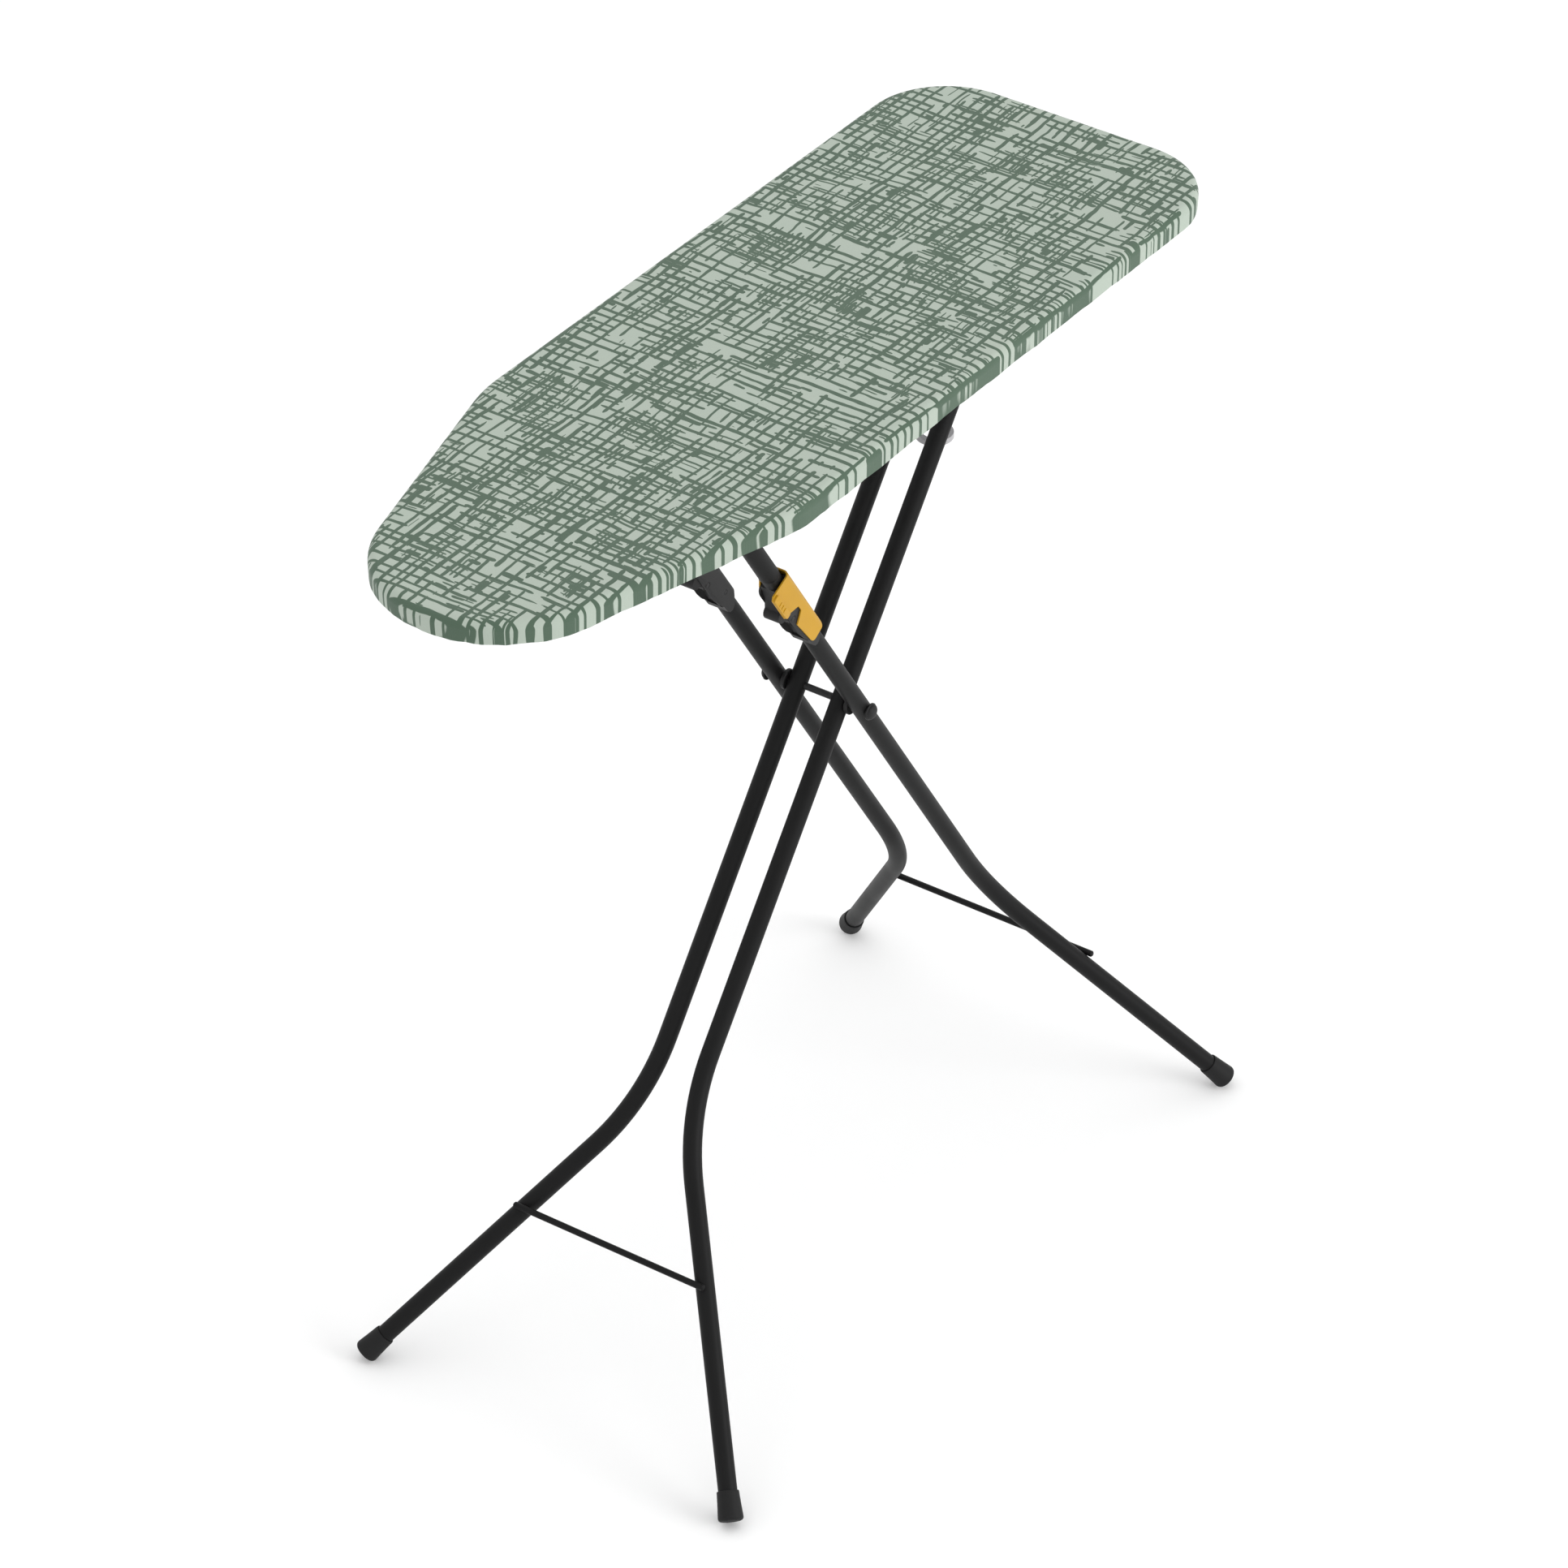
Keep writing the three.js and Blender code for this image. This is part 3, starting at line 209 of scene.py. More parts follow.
felt = surface(
    "needled_felt", (0.66, 0.64, 0.58), 0.95, grain_mm=0.7, grain_depth=0.0003, mottle=0.12
)
bm = bmesh.new()
pad_inset = HALF_LENGTH - pad_high.x + PAD_TRIM
loop = board_outline(bm, pad_inset, pad_low.z, spacing=PAD_SPACING)
base = bmesh.ops.edgeloop_fill(bm, edges=loop)["faces"]
raised = bmesh.ops.extrude_face_region(bm, geom=base)["geom"]
bmesh.ops.translate(
    bm, verts=only(bmesh.types.BMVert, raised), vec=(0, 0, pad_high.z - pad_low.z)
)
rims = [e for e in bm.edges if abs(e.verts[0].co.z - e.verts[1].co.z) < SAME_PLACE]
bmesh.ops.bevel(
    bm, geom=rims, offset=PAD_ROUNDING, segments=3, profile=0.5, affect="EDGES", material=-1
)
pad = mesh_piece("foam_pad_layer", bm, felt, "board", ["foam_pad"])

# ---------------------------------------------------------------- ironing cover
# Printed cotton drawn tight over the pad, round the edge, and gathered in a hem under the deck.
# The print is an irregular hand-drawn crosshatch in green on a pale grey-green ground.

SKIRT_TOP_RADIUS = 0.0072
SKIRT_RINGS = (0.0035, 0.0075, 0.0115)  # heights above the hem
CROWN_RING = 0.003
CLOTH_THICKNESS = 0.0010
HEM_WIDTH = 0.019
HEM_FOLD = 0.006
HEM_ROUNDING = 0.0016
GATHER_REACH = 0.009  # how far up the skirt the hem's gathers show
GATHERS_PER_METRE = 28
GATHER_WAVE = 0.0007
PLEATS_PER_METRE = 95
PLEAT_WAVE = 0.0008
HEM_SAG = 0.0012
DRAWN_IN = 0.0022
THREADS_PER_MM = 1.6
GROUND_COOL = (0.362, 0.430, 0.366, 1)
GROUND_WARM = (0.385, 0.432, 0.374, 1)
DYE_DARK = (0.052, 0.092, 0.060, 1)
DYE_LIGHT = (0.073, 0.120, 0.080, 1)


class Print:
    """Builds the nodes of the printed cotton. Distances on the board's plan are in millimetres."""

    CROWDED_PATCH = 62
    WASHED_PATCH = 60
    STRAY_PATCH = 90
    TREMBLE_PATCH = 13
    TREMBLE = 1.0
    SIDE_SHIFT = 0.18
    BREAK_SHARPNESS = 30.0
    EDGE_SHARPNESS = 3.2
    BARE_BELOW = 0.02
    SLUB_LENGTH = 0.9

    def __init__(self, tree):
        self.nodes, self.links = tree.nodes, tree.links
        self.place = self.nodes.new("ShaderNodeTexCoord").outputs["Object"]
        self.plan = self.vector("MULTIPLY", self.place, (1000, 1000, 0))
        self.elsewhere = self.vector("ADD", self.plan, (700, 300, 50))
        crowded = self.clouds(self.plan, self.CROWDED_PATCH, 2.0)
        self.dense = self.clamped(self.maths("MULTIPLY_ADD", crowded, 2.6, -0.8))

    def feed(self, socket, value):
        """Links a socket to another node's output, or sets its value."""
        if isinstance(value, bpy.types.NodeSocket):
            self.links.new(value, socket)
        else:
            socket.default_value = value

    def put(self, kind, operation, *values):
        """Adds a node, feeds its first inputs, and gives its first output."""
        node = self.nodes.new(kind)
        if operation:
            node.operation = operation
        for socket, value in zip(node.inputs, values):
            self.feed(socket, value)
        return node.outputs[0]

    def maths(self, operation, *values):
        return self.put("ShaderNodeMath", operation, *values)

    def vector(self, operation, *values):
        return self.put("ShaderNodeVectorMath", operation, *values)

    def clamped(self, value):
        return self.put("ShaderNodeClamp", None, value, 0.0, 1.0)

    def clouds(self, vector, size, detail=1.0):
        """Noise from about 0 to 1 whose patches are size across."""
        node = self.nodes.new("ShaderNodeTexNoise")
        node.inputs["Scale"].default_value = 1.0 / size
        node.inputs["Detail"].default_value = detail
        self.links.new(vector, node.inputs["Vector"])
        return node.outputs["Fac"]

    def blend(self, share, first, second):
        """The colour that goes from first to second as share goes from 0 to 1."""
        node = self.nodes.new("ShaderNodeMix")
        node.data_type = "RGBA"
        self.feed(node.inputs[0], share)
        self.feed(node.inputs[6], first)
        self.feed(node.inputs[7], second)
        return node.outputs[2]

    def strokes(self, along, across, pitch, width, length, seed, cover, gathering, wander):
        """Hand-drawn strokes that run along one direction, one row to each pitch. cover is how
        much of each row is drawn, gathering how much more where the print is dense, and wander
        how far a row strays."""
        # rows that stray slowly and tremble a little; each layer counts them from elsewhere
        drift = self.clouds(self.elsewhere, self.STRAY_PATCH)
        drift = self.maths("MULTIPLY_ADD", drift, 2 * wander, -wander)
        tremble = self.clouds(self.plan, self.TREMBLE_PATCH)
        tremble = self.maths("MULTIPLY_ADD", tremble, 2 * self.TREMBLE, -self.TREMBLE)
        row = self.maths("ADD", self.maths("ADD", across, drift), tremble)
        row = self.maths("ADD", self.maths("DIVIDE", row, pitch), seed * 13.7)
        index = self.maths("FLOOR", row)
        within = self.maths("SUBTRACT", self.maths("FRACT", row), 0.5)
        # each row's own shift to one side, and its own boldness
        dice = self.nodes.new("ShaderNodeTexWhiteNoise")
        dice.noise_dimensions = "1D"
        self.links.new(self.maths("ADD", index, seed * 3.1), dice.inputs["W"])
        split = self.nodes.new("ShaderNodeSeparateColor")
        self.links.new(dice.outputs["Color"], split.inputs["Color"])
        shift = self.maths(
            "MULTIPLY_ADD", split.outputs[0], 2 * self.SIDE_SHIFT, -self.SIDE_SHIFT
        )
        bold = self.maths("MULTIPLY_ADD", split.outputs[1], 0.6 * width, 0.7 * width)
        off = self.maths("SUBTRACT", within, shift)
        off = self.maths("ABSOLUTE", self.maths("MULTIPLY", off, pitch))
        # breaks along the row, fewer where the print is dense
        reach = self.maths("DIVIDE", along, length)
        reach = self.put(
            "ShaderNodeCombineXYZ", None, reach, self.maths("MULTIPLY", index, 7.31), seed
        )
        drawn = self.clouds(reach, 1.0, 0.0)
        extra = self.maths("MULTIPLY_ADD", self.dense, gathering, -0.5 * gathering)
        ink = self.maths("ADD", self.maths("ADD", drawn, extra), cover - 1.0)
        ink = self.clamped(self.maths("MULTIPLY", ink, self.BREAK_SHARPNESS))
        # a stroke swells along its length and tapers to its ends
        swell = self.maths("MULTIPLY_ADD", self.clouds(reach, 0.6), 0.8, 0.6)
        bold = self.maths("MULTIPLY", bold, swell)
        half = self.maths("MULTIPLY", self.maths("POWER", ink, 0.4), 0.5)
        half = self.maths("MULTIPLY", bold, half)
        edge = self.maths("SUBTRACT", half, off)
        edge = self.clamped(self.maths("MULTIPLY_ADD", edge, self.EDGE_SHARPNESS, 0.5))
        return self.maths("MULTIPLY", edge, self.maths("GREATER_THAN", ink, self.BARE_BELOW))

    def crosshatch(self):
        """Where there is ink: broad strokes, fine ones and stray ones, each kind both ways."""
        split = self.nodes.new("ShaderNodeSeparateXYZ")
        self.links.new(self.plan, split.inputs[0])
        x, y = split.outputs[0], split.outputs[1]
        broad = {"width": 3.1, "wander": 5.0}
        fine = {"wander": 7.0}
        stray = {"cover": 0.34, "gathering": 0.16, "wander": 6.0}
        layers = (
            self.strokes(x, y, pitch=9.2, length=46, seed=1.0, cover=0.61, gathering=0.14, **broad),
            self.strokes(y, x, pitch=9.8, length=42, seed=2.0, cover=0.63, gathering=0.12, **broad),
            self.strokes(
                x, y, pitch=5.0, width=1.7, length=34, seed=3.0, cover=0.36, gathering=0.36, **fine
            ),
            self.strokes(
                y, x, pitch=5.6, width=2.0, length=32, seed=4.0, cover=0.40, gathering=0.34, **fine
            ),
            self.strokes(x, y, pitch=14.0, width=3.8, length=24, seed=5.0, **stray),
            self.strokes(y, x, pitch=15.0, width=4.0, length=22, seed=6.0, **stray),
        )
        ink = layers[0]
        for layer in layers[1:]:
            ink = self.maths("MAXIMUM", ink, layer)
        return ink

    def colours(self):
        """Green dye on a pale ground, both a little washed out in patches."""
        wash = self.clouds(self.plan, self.WASHED_PATCH, 3.0)
        ground = self.blend(wash, GROUND_COOL, GROUND_WARM)
        dye = self.blend(wash, DYE_DARK, DYE_LIGHT)
        return self.blend(self.crosshatch(), ground, dye)

    def bumped(self, height, distance, strength, under=None):
        """Relief from a height, laid over another relief where there is one under it."""
        node = self.nodes.new("ShaderNodeBump")
        node.inputs["Distance"].default_value = distance
        node.inputs["Strength"].default_value = strength
        self.links.new(height, node.inputs["Height"])
        if under is not None:
            self.links.new(under, node.inputs["Normal"])
        return node.outputs["Normal"]

    def weave(self):
        """Plain weave with slubs in its threads, over a pad that is not quite even."""
        threads = self.vector("MULTIPLY", self.place, (1000 * math.pi * THREADS_PER_MM,) * 3)
        each = self.nodes.new("ShaderNodeSeparateXYZ")
        self.links.new(threads, each.inputs[0])
        warp = self.maths("SINE", each.outputs[0])
        weft = self.maths("SINE", each.outputs[1])
        slub = self.clouds(self.plan, self.SLUB_LENGTH, 3.0)
        cloth = self.maths("MULTIPLY_ADD", self.maths("MULTIPLY", warp, weft), 0.25, slub)
        soft = self.bumped(self.clouds(self.place, 0.05, 2.0), 0.0006, 0.5)
        return self.bumped(cloth, 0.00012, 0.7, under=soft)


def printed_cotton():
    material = bpy.data.materials.new("printed_cotton")
    material.use_nodes = True
    tree = material.node_tree
    shader = tree.nodes["Principled BSDF"]
    shader.inputs["Roughness"].default_value = 0.9
    shader.inputs["Sheen Weight"].default_value = 0.15
    shader.inputs["Sheen Roughness"].default_value = 0.5
    cotton_print = Print(tree)
    tree.links.new(cotton_print.colours(), shader.inputs["Base Color"])
    tree.links.new(cotton_print.weave(), shader.inputs["Normal"])
    return material


def faces_at(bm, height):
    """The faces that lie flat at one height."""
    return [f for f in bm.faces if all(abs(v.co.z - height) < SAME_PLACE for v in f.verts)]


cotton = printed_cotton()

bm = bmesh.new()
loop = board_outline(bm, 0, cover_low.z)
crown = bmesh.ops.edgeloop_fill(bm, edges=loop)["faces"]
for height in (*SKIRT_RINGS, cover_high.z - cover_low.z):
    raised = bmesh.ops.extrude_face_region(bm, geom=crown)["geom"]
    for v in only(bmesh.types.BMVert, raised):
        v.co.z = cover_low.z + height
    if height > SKIRT_RINGS[0]:
        bmesh.ops.delete(bm, geom=crown, context="FACES_ONLY")
    crown = only(bmesh.types.BMFace, raised)
bmesh.ops.bevel(
    bm, geom=list(crown[0].edges), offset=SKIRT_TOP_RADIUS, segments=7, profile=0.5,
    affect="EDGES", material=-1,
)
flat_top = faces_at(bm, cover_high.z)
bmesh.ops.inset_region(bm, faces=flat_top, thickness=CROWN_RING, depth=0, use_even_offset=True)
opening = faces_at(bm, cover_low.z)
for width in (HEM_ROUNDING, HEM_FOLD, HEM_WIDTH - HEM_FOLD - HEM_ROUNDING):
    bmesh.ops.inset_region(bm, faces=opening, thickness=width, depth=0, use_even_offset=True)
bmesh.ops.delete(bm, geom=opening, context="FACES")
for v in bm.verts:
    near_hem = max(0, 1 - (v.co.z - cover_low.z) / GATHER_REACH)
    if near_hem > 0:
        x, y = v.co.x, v.co.y
        gather = noise.noise(Vector((x * GATHERS_PER_METRE, y * GATHERS_PER_METRE, 3.0)))
        wave = GATHER_WAVE * gather
        if abs(v.co.z - cover_low.z) < SAME_PLACE:
            pleat = noise.noise(Vector((x * PLEATS_PER_METRE, y * PLEATS_PER_METRE, 9.0)))
            wave += PLEAT_WAVE * pleat
        v.co.z = max(v.co.z + wave * near_hem, cover_low.z - HEM_SAG)
        pull = 1 - DRAWN_IN * near_hem * (0.5 + gather)
        v.co.x *= pull
        v.co.y *= pull
cover = mesh_piece(
    "cotton_cover", bm, cotton, "board", ["ironing_cover"], smooth_below=70
)
cloth = cover.modifiers.new("cloth", "SOLIDIFY")
cloth.thickness = CLOTH_THICKNESS
cloth.offset = -1

# ---------------------------------------------------------------- front pivot, rack and lever
# Brackets of 2 mm steel screwed under the deck hold the outer legs' top pin. At the rear the inner
# legs' top bar hangs in a zinc plated rack, kept in its notch by a lever with two pawls.

TURNING_STEPS = 48
black_steel = surface("black_stove_paint", (0.012, 0.012, 0.0125), 0.45, shine=0.3)
zinc = surface("zinc_plate", (0.42, 0.43, 0.44), 0.34, metallic=0.9, mottle=0.15)
grey_moulding = surface("grey_moulding", (0.375, 0.370, 0.380), 0.5, grain_mm=0.8)
black_moulding = surface(
    "black_moulding", (0.0110, 0.0110, 0.0113), 0.55, grain_mm=0.7, shine=0.25
)
for side in ("near", "far"):
    dressed(f"pivot_bracket_{side}", black_steel, "board")
    dressed(f"height_rack_{side}", zinc, "board")
    dressed(f"lever_bearing_{side}", black_moulding, "board")
    dressed(f"lever_pawl_{side}", zinc, "height_lever", edge=0.0003)
dressed("lever_grip", grey_moulding, "height_lever", edge=0.0012)


def middle(node):
    """The middle of a CAD node's box."""
    low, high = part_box(node)
    return (Vector(low) + Vector(high)) / 2


def turned(name, profile, place, material, body, stands_for):
    """A body of revolution. profile is (distance along the axis, radius), and place sets the
    axis as its local x."""
    bm = bmesh.new()
    points = [bm.verts.new((along, radius, 0)) for along, radius in profile]
    edges = [bm.edges.new(pair) for pair in zip(points, points[1:])]
    bmesh.ops.spin(
        bm, geom=points + edges, cent=(0, 0, 0), axis=(1, 0, 0), angle=2 * math.pi,
        steps=TURNING_STEPS, use_merge=True,
    )
    bmesh.ops.transform(bm, matrix=place, verts=bm.verts)
    return mesh_piece(name, bm, material, body, stands_for, smooth_below=32)


def cross_rod(node, radius, material, body, end=0.0006, head=None):
    """A round rod or pin across the board, with broken ends, or with heads given as their
    thickness and radius."""
    centre = middle(node)
    low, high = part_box(node)
    half = (high[1] - low[1]) / 2
    place = Matrix.Translation(centre) @ Matrix.Rotation(math.pi / 2, 4, "Z")
    if head is None:
        profile = [(-half, 0), (-half, radius - end), (end - half, radius)]
    else:
        thick, wide = head
        profile = [
            (-half, 0), (-half, wide * 0.45), (thick * 0.35 - half, wide * 0.86),
            (thick * 0.75 - half, wide), (thick - half, wide), (thick - half, radius),
        ]
    profile += [(-along, r) for along, r in reversed(profile)]
    return turned(f"{node}_turned", profile, place, material, body, [node])


cross_rod("pivot_pin", 0.004, zinc, "board", head=(0.0025, 0.006))
cross_rod("lever_rod", 0.0025, zinc, "height_lever")

# ---------------------------------------------------------------- inner legs
# Two bent 16 mm steel tubes with black powder coat, joined by the top bar and a thin welded rod,
# plugged at the top and shod with moulded caps.

TUBE_RADIUS = 0.008
TUBE_PAST_PIN = 0.010  # from the top pin's middle to the tube's end
SPLAY = math.radians(30)
BEND_RADIUS = 0.210
BEND_HEIGHT = 0.237
FOOT_FACE_HEIGHT = 0.00653
FOOT_FLOOR = 0.0043  # what lies between the tube's end and the foot's face
CROSS_ROD_RADIUS = 0.00275
axle = middle("scissor_axle")


def leg_frame(top_node):
    """A leg's own frame: local x up the leg from the scissor axle, local y across the board."""
    up = (middle(top_node) - axle).normalized()
    across = Vector((0, 1, 0))
    place = Matrix((up, across, up.cross(across))).transposed().to_4x4()
    place.translation = axle
    return place


def leg_stations(place):
    """Where a leg bends and where its foot ends, up the leg from the scissor axle."""
    rise = place.col[0].z
    return (BEND_HEIGHT - axle.z) / rise, (FOOT_FACE_HEIGHT - axle.z) / rise


def drawn_on(bm, ring, way, steps):
    """Extrudes a ring of edges along a straight way, and gives the ring at its end."""
    for _ in range(steps):
        made = bmesh.ops.extrude_edge_only(bm, edges=ring)["geom"]
        rim = set(only(bmesh.types.BMVert, made))
        bmesh.ops.translate(bm, verts=list(rim), vec=way / steps)
        ring = [e for e in only(bmesh.types.BMEdge, made) if set(e.verts) <= rim]
    return ring


def bent_leg(name, place, top, half, side, node, body):
    """Tube of one bent leg: straight down, a 30 degree bend outwards, straight to the foot."""
    bend, end = leg_stations(place)
    tangent = BEND_RADIUS * math.tan(SPLAY / 2)
    bm = bmesh.new()
    start = Matrix.Translation((top, side * half, 0)) @ Matrix.Rotation(math.pi / 2, 4, "Y")
    bmesh.ops.create_circle(bm, cap_ends=False, segments=40, radius=TUBE_RADIUS, matrix=start)
    ring = drawn_on(bm, list(bm.edges), Vector((bend + tangent - top, 0, 0)), 6)
    swept = bmesh.ops.spin(
        bm, geom=ring + list({v for e in ring for v in e.verts}),
        cent=(bend + tangent, side * (half + BEND_RADIUS), 0), axis=(0, 0, 1),
        angle=-side * SPLAY, steps=14,
    )
    ring = only(bmesh.types.BMEdge, swept["geom_last"])
    reach = bend - tangent * math.cos(SPLAY) - end - FOOT_FLOOR * math.cos(SPLAY)
    drawn_on(bm, ring, Vector((-reach, side * reach * math.tan(SPLAY), 0)), 6)
    bmesh.ops.holes_fill(bm, edges=bm.edges)
    bmesh.ops.transform(bm, matrix=place, verts=bm.verts)
    return mesh_piece(name, bm, powder_coat, body, [node])


def foot(name, place, half, side, node, body):
    """Moulded cap pushed on the end of a tube, flared towards the floor."""
    bend, end = leg_stations(place)
    up = Vector((math.cos(SPLAY), -side * math.sin(SPLAY), 0))
    upright = Vector((0, 0, 1))
    own = Matrix((up, upright.cross(up), upright)).transposed().to_4x4()
    own.translation = Vector((end, side * (half + (bend - end) * math.tan(SPLAY)), 0))
    # the sole with its shallow dish, the flare, the rolled lip, and the bore down to its floor
    profile = [
        (0.0002, 0), (0.0002, 0.0060), (0.0, 0.0066), (0.0, 0.0080), (0.0005, 0.0093),
        (0.0014, 0.0102), (0.0026, 0.0106), (0.0040, 0.0106), (0.0105, 0.0101), (0.0180, 0.0096),
        (0.0236, 0.0093), (0.0244, 0.0092), (0.0249, 0.0089), (0.0250, 0.0085), (0.0247, 0.0082),
        (0.0238, 0.0081), (0.0225, 0.00803), (0.0045, 0.00803), (0.0045, 0),
    ]
    return turned(name, profile, place @ own, foot_moulding, body, [node])


powder_coat = surface(
    "black_powder_coat", (0.0080, 0.0080, 0.0082), 0.48, grain_mm=1.6, grain_depth=0.00003,
    shine=0.12,
)
foot_moulding = surface("foot_moulding", (0.0095, 0.0095, 0.0098), 0.6, grain_mm=0.9, shine=0.2)
inner = leg_frame("inner_top_bar")
inner_half = abs(middle("inner_top_plug_near").y)
inner_top = (middle("inner_top_bar") - axle).length + TUBE_PAST_PIN
for side, sign in (("near", -1), ("far", 1)):
    bent_leg(
        f"inner_tube_{side}", inner, inner_top, inner_half, sign, f"inner_leg_tube_{side}",
        "inner_legs",
    )
    foot(f"inner_cap_{side}", inner, inner_half, sign, f"inner_foot_{side}", "inner_legs")
    dressed(f"inner_top_plug_{side}", black_moulding, "inner_legs", edge=0.0003)
cross_rod("inner_top_bar", 0.006, black_steel, "inner_legs", end=0.001)
cross_rod("inner_cross_rod", CROSS_ROD_RADIUS, powder_coat, "inner_legs", end=0.0009)

# ---------------------------------------------------------------- outer legs
# The same bent tubes, set wider. Each stops in a hinged knuckle below the deck; short 17 mm tubes
# carry on from there to the front pivot.

UPPER_RADIUS = 0.0085
UPPER_WALL = 0.0012
UPPER_LOW = 0.2403  # its lower end, up the leg from the scissor axle
UPPER_LIP = 0.0014
PLUG_DEPTH = 0.008
KNUCKLE_THROAT = 0.1637  # where the lower tube stops in the fork
outer = leg_frame("pivot_pin")
outer_half = abs(middle("outer_upper_tube_near").y)
outer_top = (middle("pivot_pin") - axle).length + TUBE_PAST_PIN
# closed and rolled to a slight lip at the knuckle, open at the top
upper_profile = [
    (UPPER_LOW + 0.0015, 0), (UPPER_LOW + 0.0002, UPPER_RADIUS - 0.0016),
    (UPPER_LOW, UPPER_RADIUS - 0.0009), (UPPER_LOW + 0.0006, UPPER_RADIUS - 0.0001),
    (UPPER_LOW + UPPER_LIP, UPPER_RADIUS + 0.0002), (UPPER_LOW + 2 * UPPER_LIP, UPPER_RADIUS),
    (outer_top - 0.0004, UPPER_RADIUS), (outer_top, UPPER_RADIUS - 0.0004),
    (outer_top, UPPER_RADIUS - UPPER_WALL), (outer_top - PLUG_DEPTH, UPPER_RADIUS - UPPER_WALL),
    (outer_top - PLUG_DEPTH, 0),
]
for side, sign in (("near", -1), ("far", 1)):
    bent_leg(
        f"outer_tube_{side}", outer, KNUCKLE_THROAT, outer_half, sign, f"outer_leg_tube_{side}",
        "outer_lower",
    )
    foot(f"outer_cap_{side}", outer, outer_half, sign, f"outer_foot_{side}", "outer_lower")
    place = outer @ Matrix.Translation((0, sign * outer_half, 0))
    turned(
        f"outer_upper_{side}", upper_profile, place, powder_coat, "outer_upper",
        [f"outer_upper_tube_{side}"],
    )
cross_rod("outer_cross_rod", CROSS_ROD_RADIUS, powder_coat, "outer_lower", end=0.0009)

# ---------------------------------------------------------------- scissor axle
# A 6 mm steel rod through all four tubes, with moulded washers between the frames and domed push-on
# caps outside.

AXLE_BORE = 0.00315
AXLE_PLAY = 0.0003
cross_rod("scissor_axle", 0.003, black_steel, "outer_lower", end=0.0005)
cap_foot = outer_half + TUBE_RADIUS + AXLE_PLAY
cap_profile = [(cap_foot + along, radius) for along, radius in (
    (0.0028, 0), (0.0028, AXLE_BORE), (0, AXLE_BORE), (0, 0.0071), (0.0003, 0.0074),
    (0.0013, 0.0075), (0.0018, 0.0071), (0.0021, 0.0066), (0.0032, 0.0063), (0.0042, 0.0053),
    (0.0049, 0.0038), (0.0052, 0.0018), (0.0053, 0),
)]
washer_low = inner_half + TUBE_RADIUS + AXLE_PLAY
washer_high = outer_half - TUBE_RADIUS - AXLE_PLAY
washer_profile = [
    (washer_low, AXLE_BORE), (washer_low, 0.0085), (washer_low + 0.0005, 0.0090),
    (washer_high - 0.0005, 0.0090), (washer_high, 0.0085), (washer_high, AXLE_BORE),
    (washer_low, AXLE_BORE),
]
for side, sign in (("near", -1), ("far", 1)):
    place = Matrix.Translation(axle) @ Matrix.Rotation(sign * math.pi / 2, 4, "Z")
    turned(
        f"axle_button_{side}", cap_profile, place, black_moulding, "outer_lower",
        [f"axle_cap_{side}"],
    )
    turned(
        f"frame_washer_{side}", washer_profile, place, black_moulding, "outer_lower",
        [f"axle_washer_{side}"],
    )

# ---------------------------------------------------------------- knuckles
# Moulded forks riveted over the lower tubes, and tongues with a finger that plug into the upper
# tubes. A blackened steel pin on the floor side hinges each pair.

knuckle_moulding = surface(
    "knuckle_moulding", (0.0165, 0.0165, 0.0168), 0.55, grain_mm=0.8, shine=0.3
)
for side in ("near", "far"):
    dressed(
        f"knuckle_housing_{side}", knuckle_moulding, "outer_lower", edge=0.0008
    )
    dressed(f"knuckle_tongue_{side}", black_moulding, "outer_upper", edge=0.0006)
    cross_rod(f"knuckle_pin_{side}", 0.0025, black_steel, "outer_lower", end=0.0004)
    cross_rod(f"housing_rivet_{side}", 0.002, black_steel, "outer_lower", end=0.0004)

# ---------------------------------------------------------------- lock slider
# An amber moulding that slides along the near knuckle and holds it straight. It has a raised,
# ridged thumb pad and a rounded tongue down the tube.

amber = surface(
    "amber_moulding", (0.485, 0.262, 0.012), 0.45, grain_mm=0.9, mottle=0.05, shine=0.25
)
dressed("lock_slider", amber, "lock", edge=0.0006)

# ---------------------------------------------------------------- cord clip
# A pale grey moulded ring on a short saddle behind the near inner tube. It stands level.

dressed("cord_clip", grey_moulding, "inner_legs", edge=0.0012)

# ---------------------------------------------------------------- studio
# A plain pale floor just under the feet, an even white surround and large soft lights that are
# aimed at the middle of the stand.

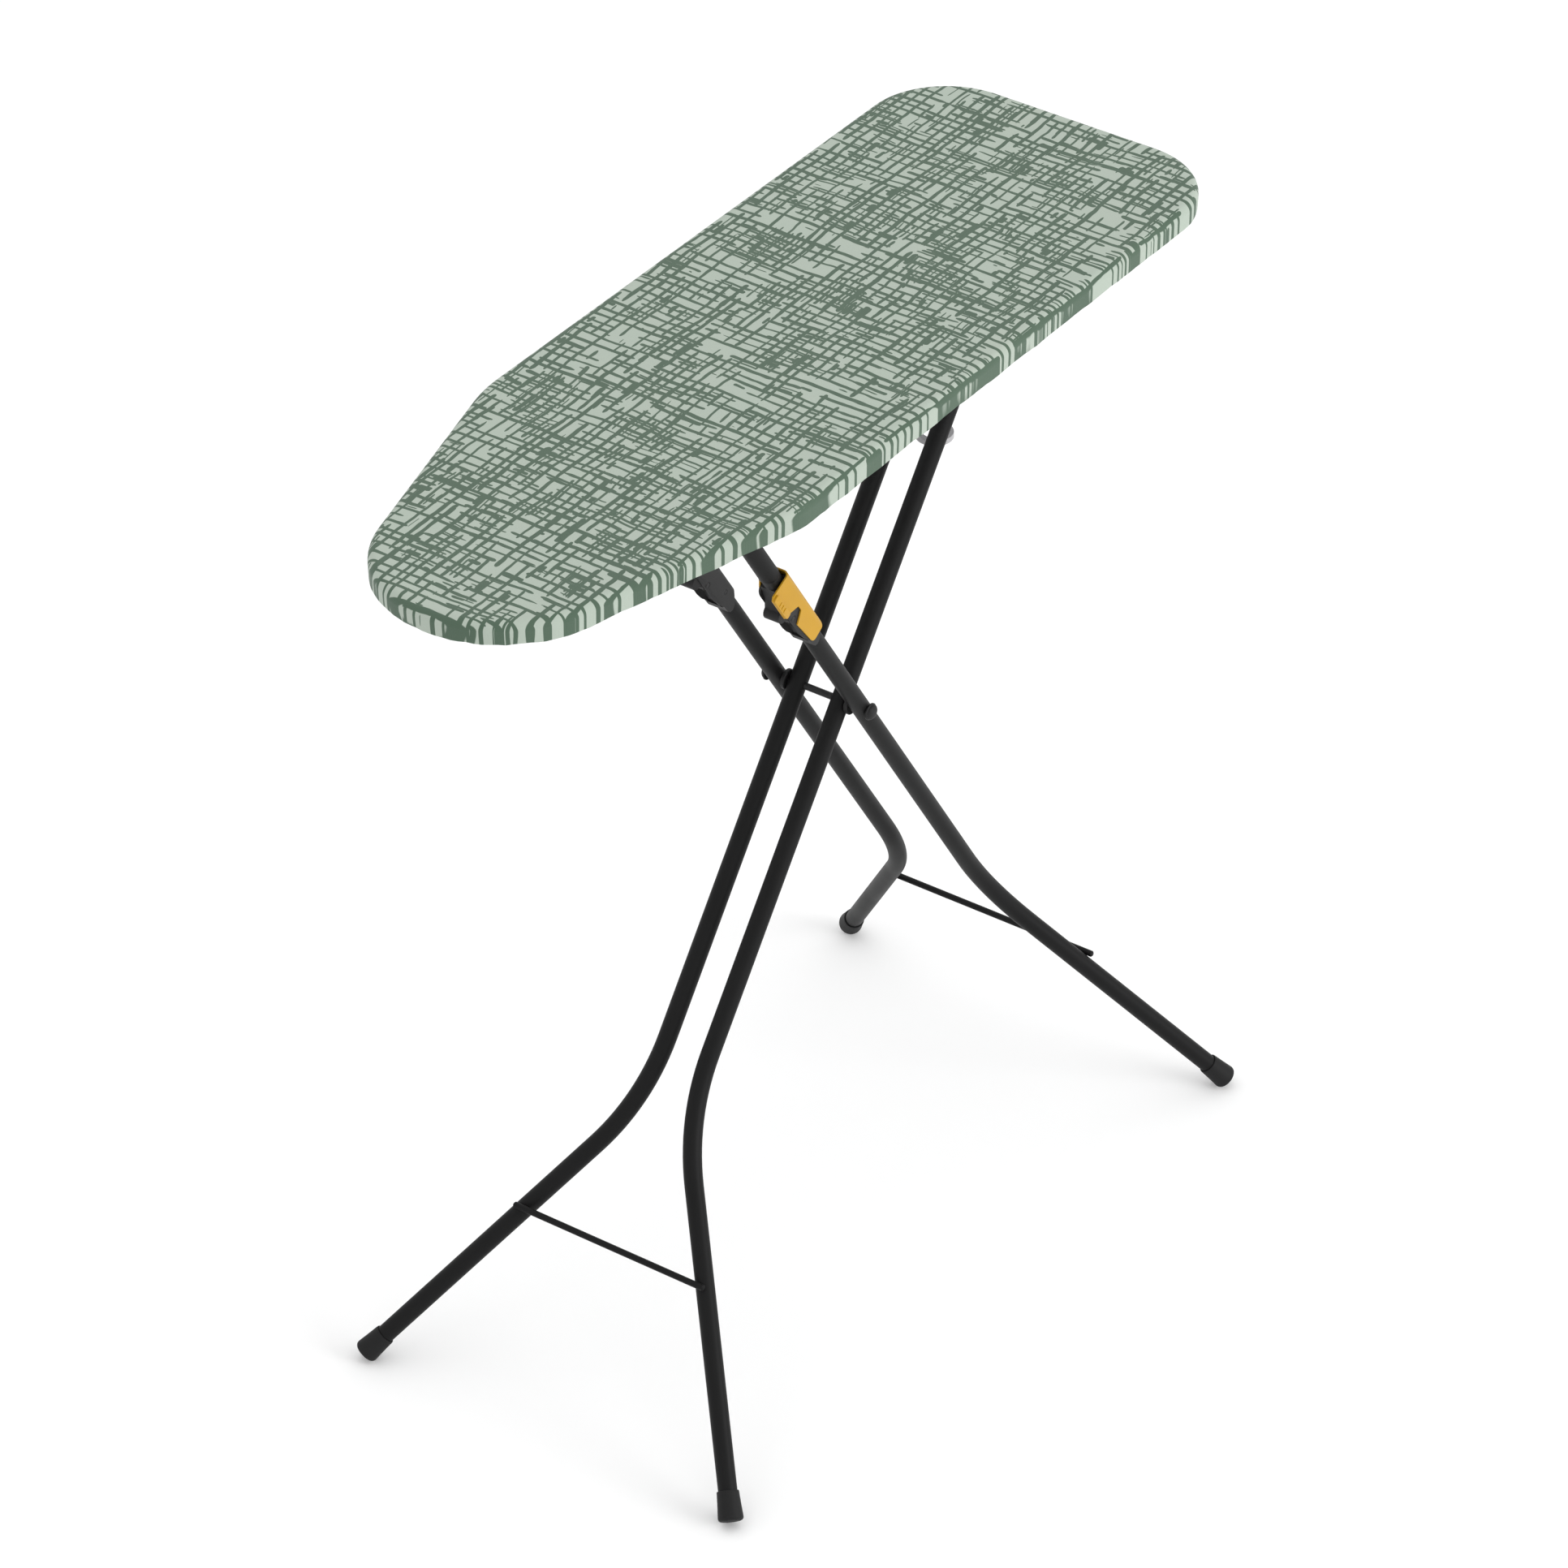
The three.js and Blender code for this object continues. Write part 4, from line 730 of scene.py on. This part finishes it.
FLOOR_SIZE = 30.0
FLOOR_DROP = 0.0006
LIGHTS_AIM = Vector((0, 0, 0.45))
bm = bmesh.new()
bmesh.ops.create_grid(bm, x_segments=1, y_segments=1, size=FLOOR_SIZE / 2)
floor_mesh = bpy.data.meshes.new("studio_floor")
bm.to_mesh(floor_mesh)
bm.free()
floor_paint = bpy.data.materials.new("studio_floor")
floor_paint.use_nodes = True
floor_shader = floor_paint.node_tree.nodes["Principled BSDF"]
floor_shader.inputs["Base Color"].default_value = (0.95, 0.95, 0.95, 1)
floor_shader.inputs["Roughness"].default_value = 0.95
floor_shader.inputs["Specular IOR Level"].default_value = 0.1
floor_mesh.materials.append(floor_paint)
floor = bpy.data.objects.new("studio_floor", floor_mesh)
floor.location.z = -FLOOR_DROP
bpy.context.scene.collection.objects.link(floor)

world = bpy.data.worlds.new("studio")
world.use_nodes = True
world.node_tree.nodes["Background"].inputs["Color"].default_value = (1, 1, 1, 1)
world.node_tree.nodes["Background"].inputs["Strength"].default_value = 1.0
bpy.context.scene.world = world
bpy.context.scene.view_settings.view_transform = "Standard"


def soft_light(name, position, size, power):
    lamp = bpy.data.lights.new(name, "AREA")
    lamp.shape = "SQUARE"
    lamp.size = size
    lamp.energy = power
    light = bpy.data.objects.new(name, lamp)
    light.location = position
    aim = LIGHTS_AIM - Vector(position)
    light.rotation_euler = aim.to_track_quat("-Z", "Y").to_euler()
    bpy.context.scene.collection.objects.link(light)


soft_light("key_light", (0.9, -4.7, 2.0), size=2.6, power=95)
soft_light("top_light", (-0.5, 0.3, 4.5), size=3.5, power=15)

# ---------------------------------------------------------------- camera
# A long lens about six metres off, on the near side of the nose. It looks down on the board from
# thirty-five degrees above the floor.

CAMERA_AZIMUTH = math.radians(-55.0)
CAMERA_ELEVATION = math.radians(35.09)
camera_data = bpy.data.cameras.new("camera")
camera_data.sensor_width = 36.0
camera_data.lens = 170.88
camera_data.clip_end = 100.0
camera = bpy.data.objects.new("camera", camera_data)
camera.location = (-4.06755, -2.8658, 3.9763)
back = Vector((
    math.sin(CAMERA_AZIMUTH) * math.cos(CAMERA_ELEVATION),
    -math.cos(CAMERA_AZIMUTH) * math.cos(CAMERA_ELEVATION),
    math.sin(CAMERA_ELEVATION),
))
camera.rotation_euler = (-back).to_track_quat("-Z", "Y").to_euler()
bpy.context.scene.collection.objects.link(camera)
bpy.context.scene.camera = camera
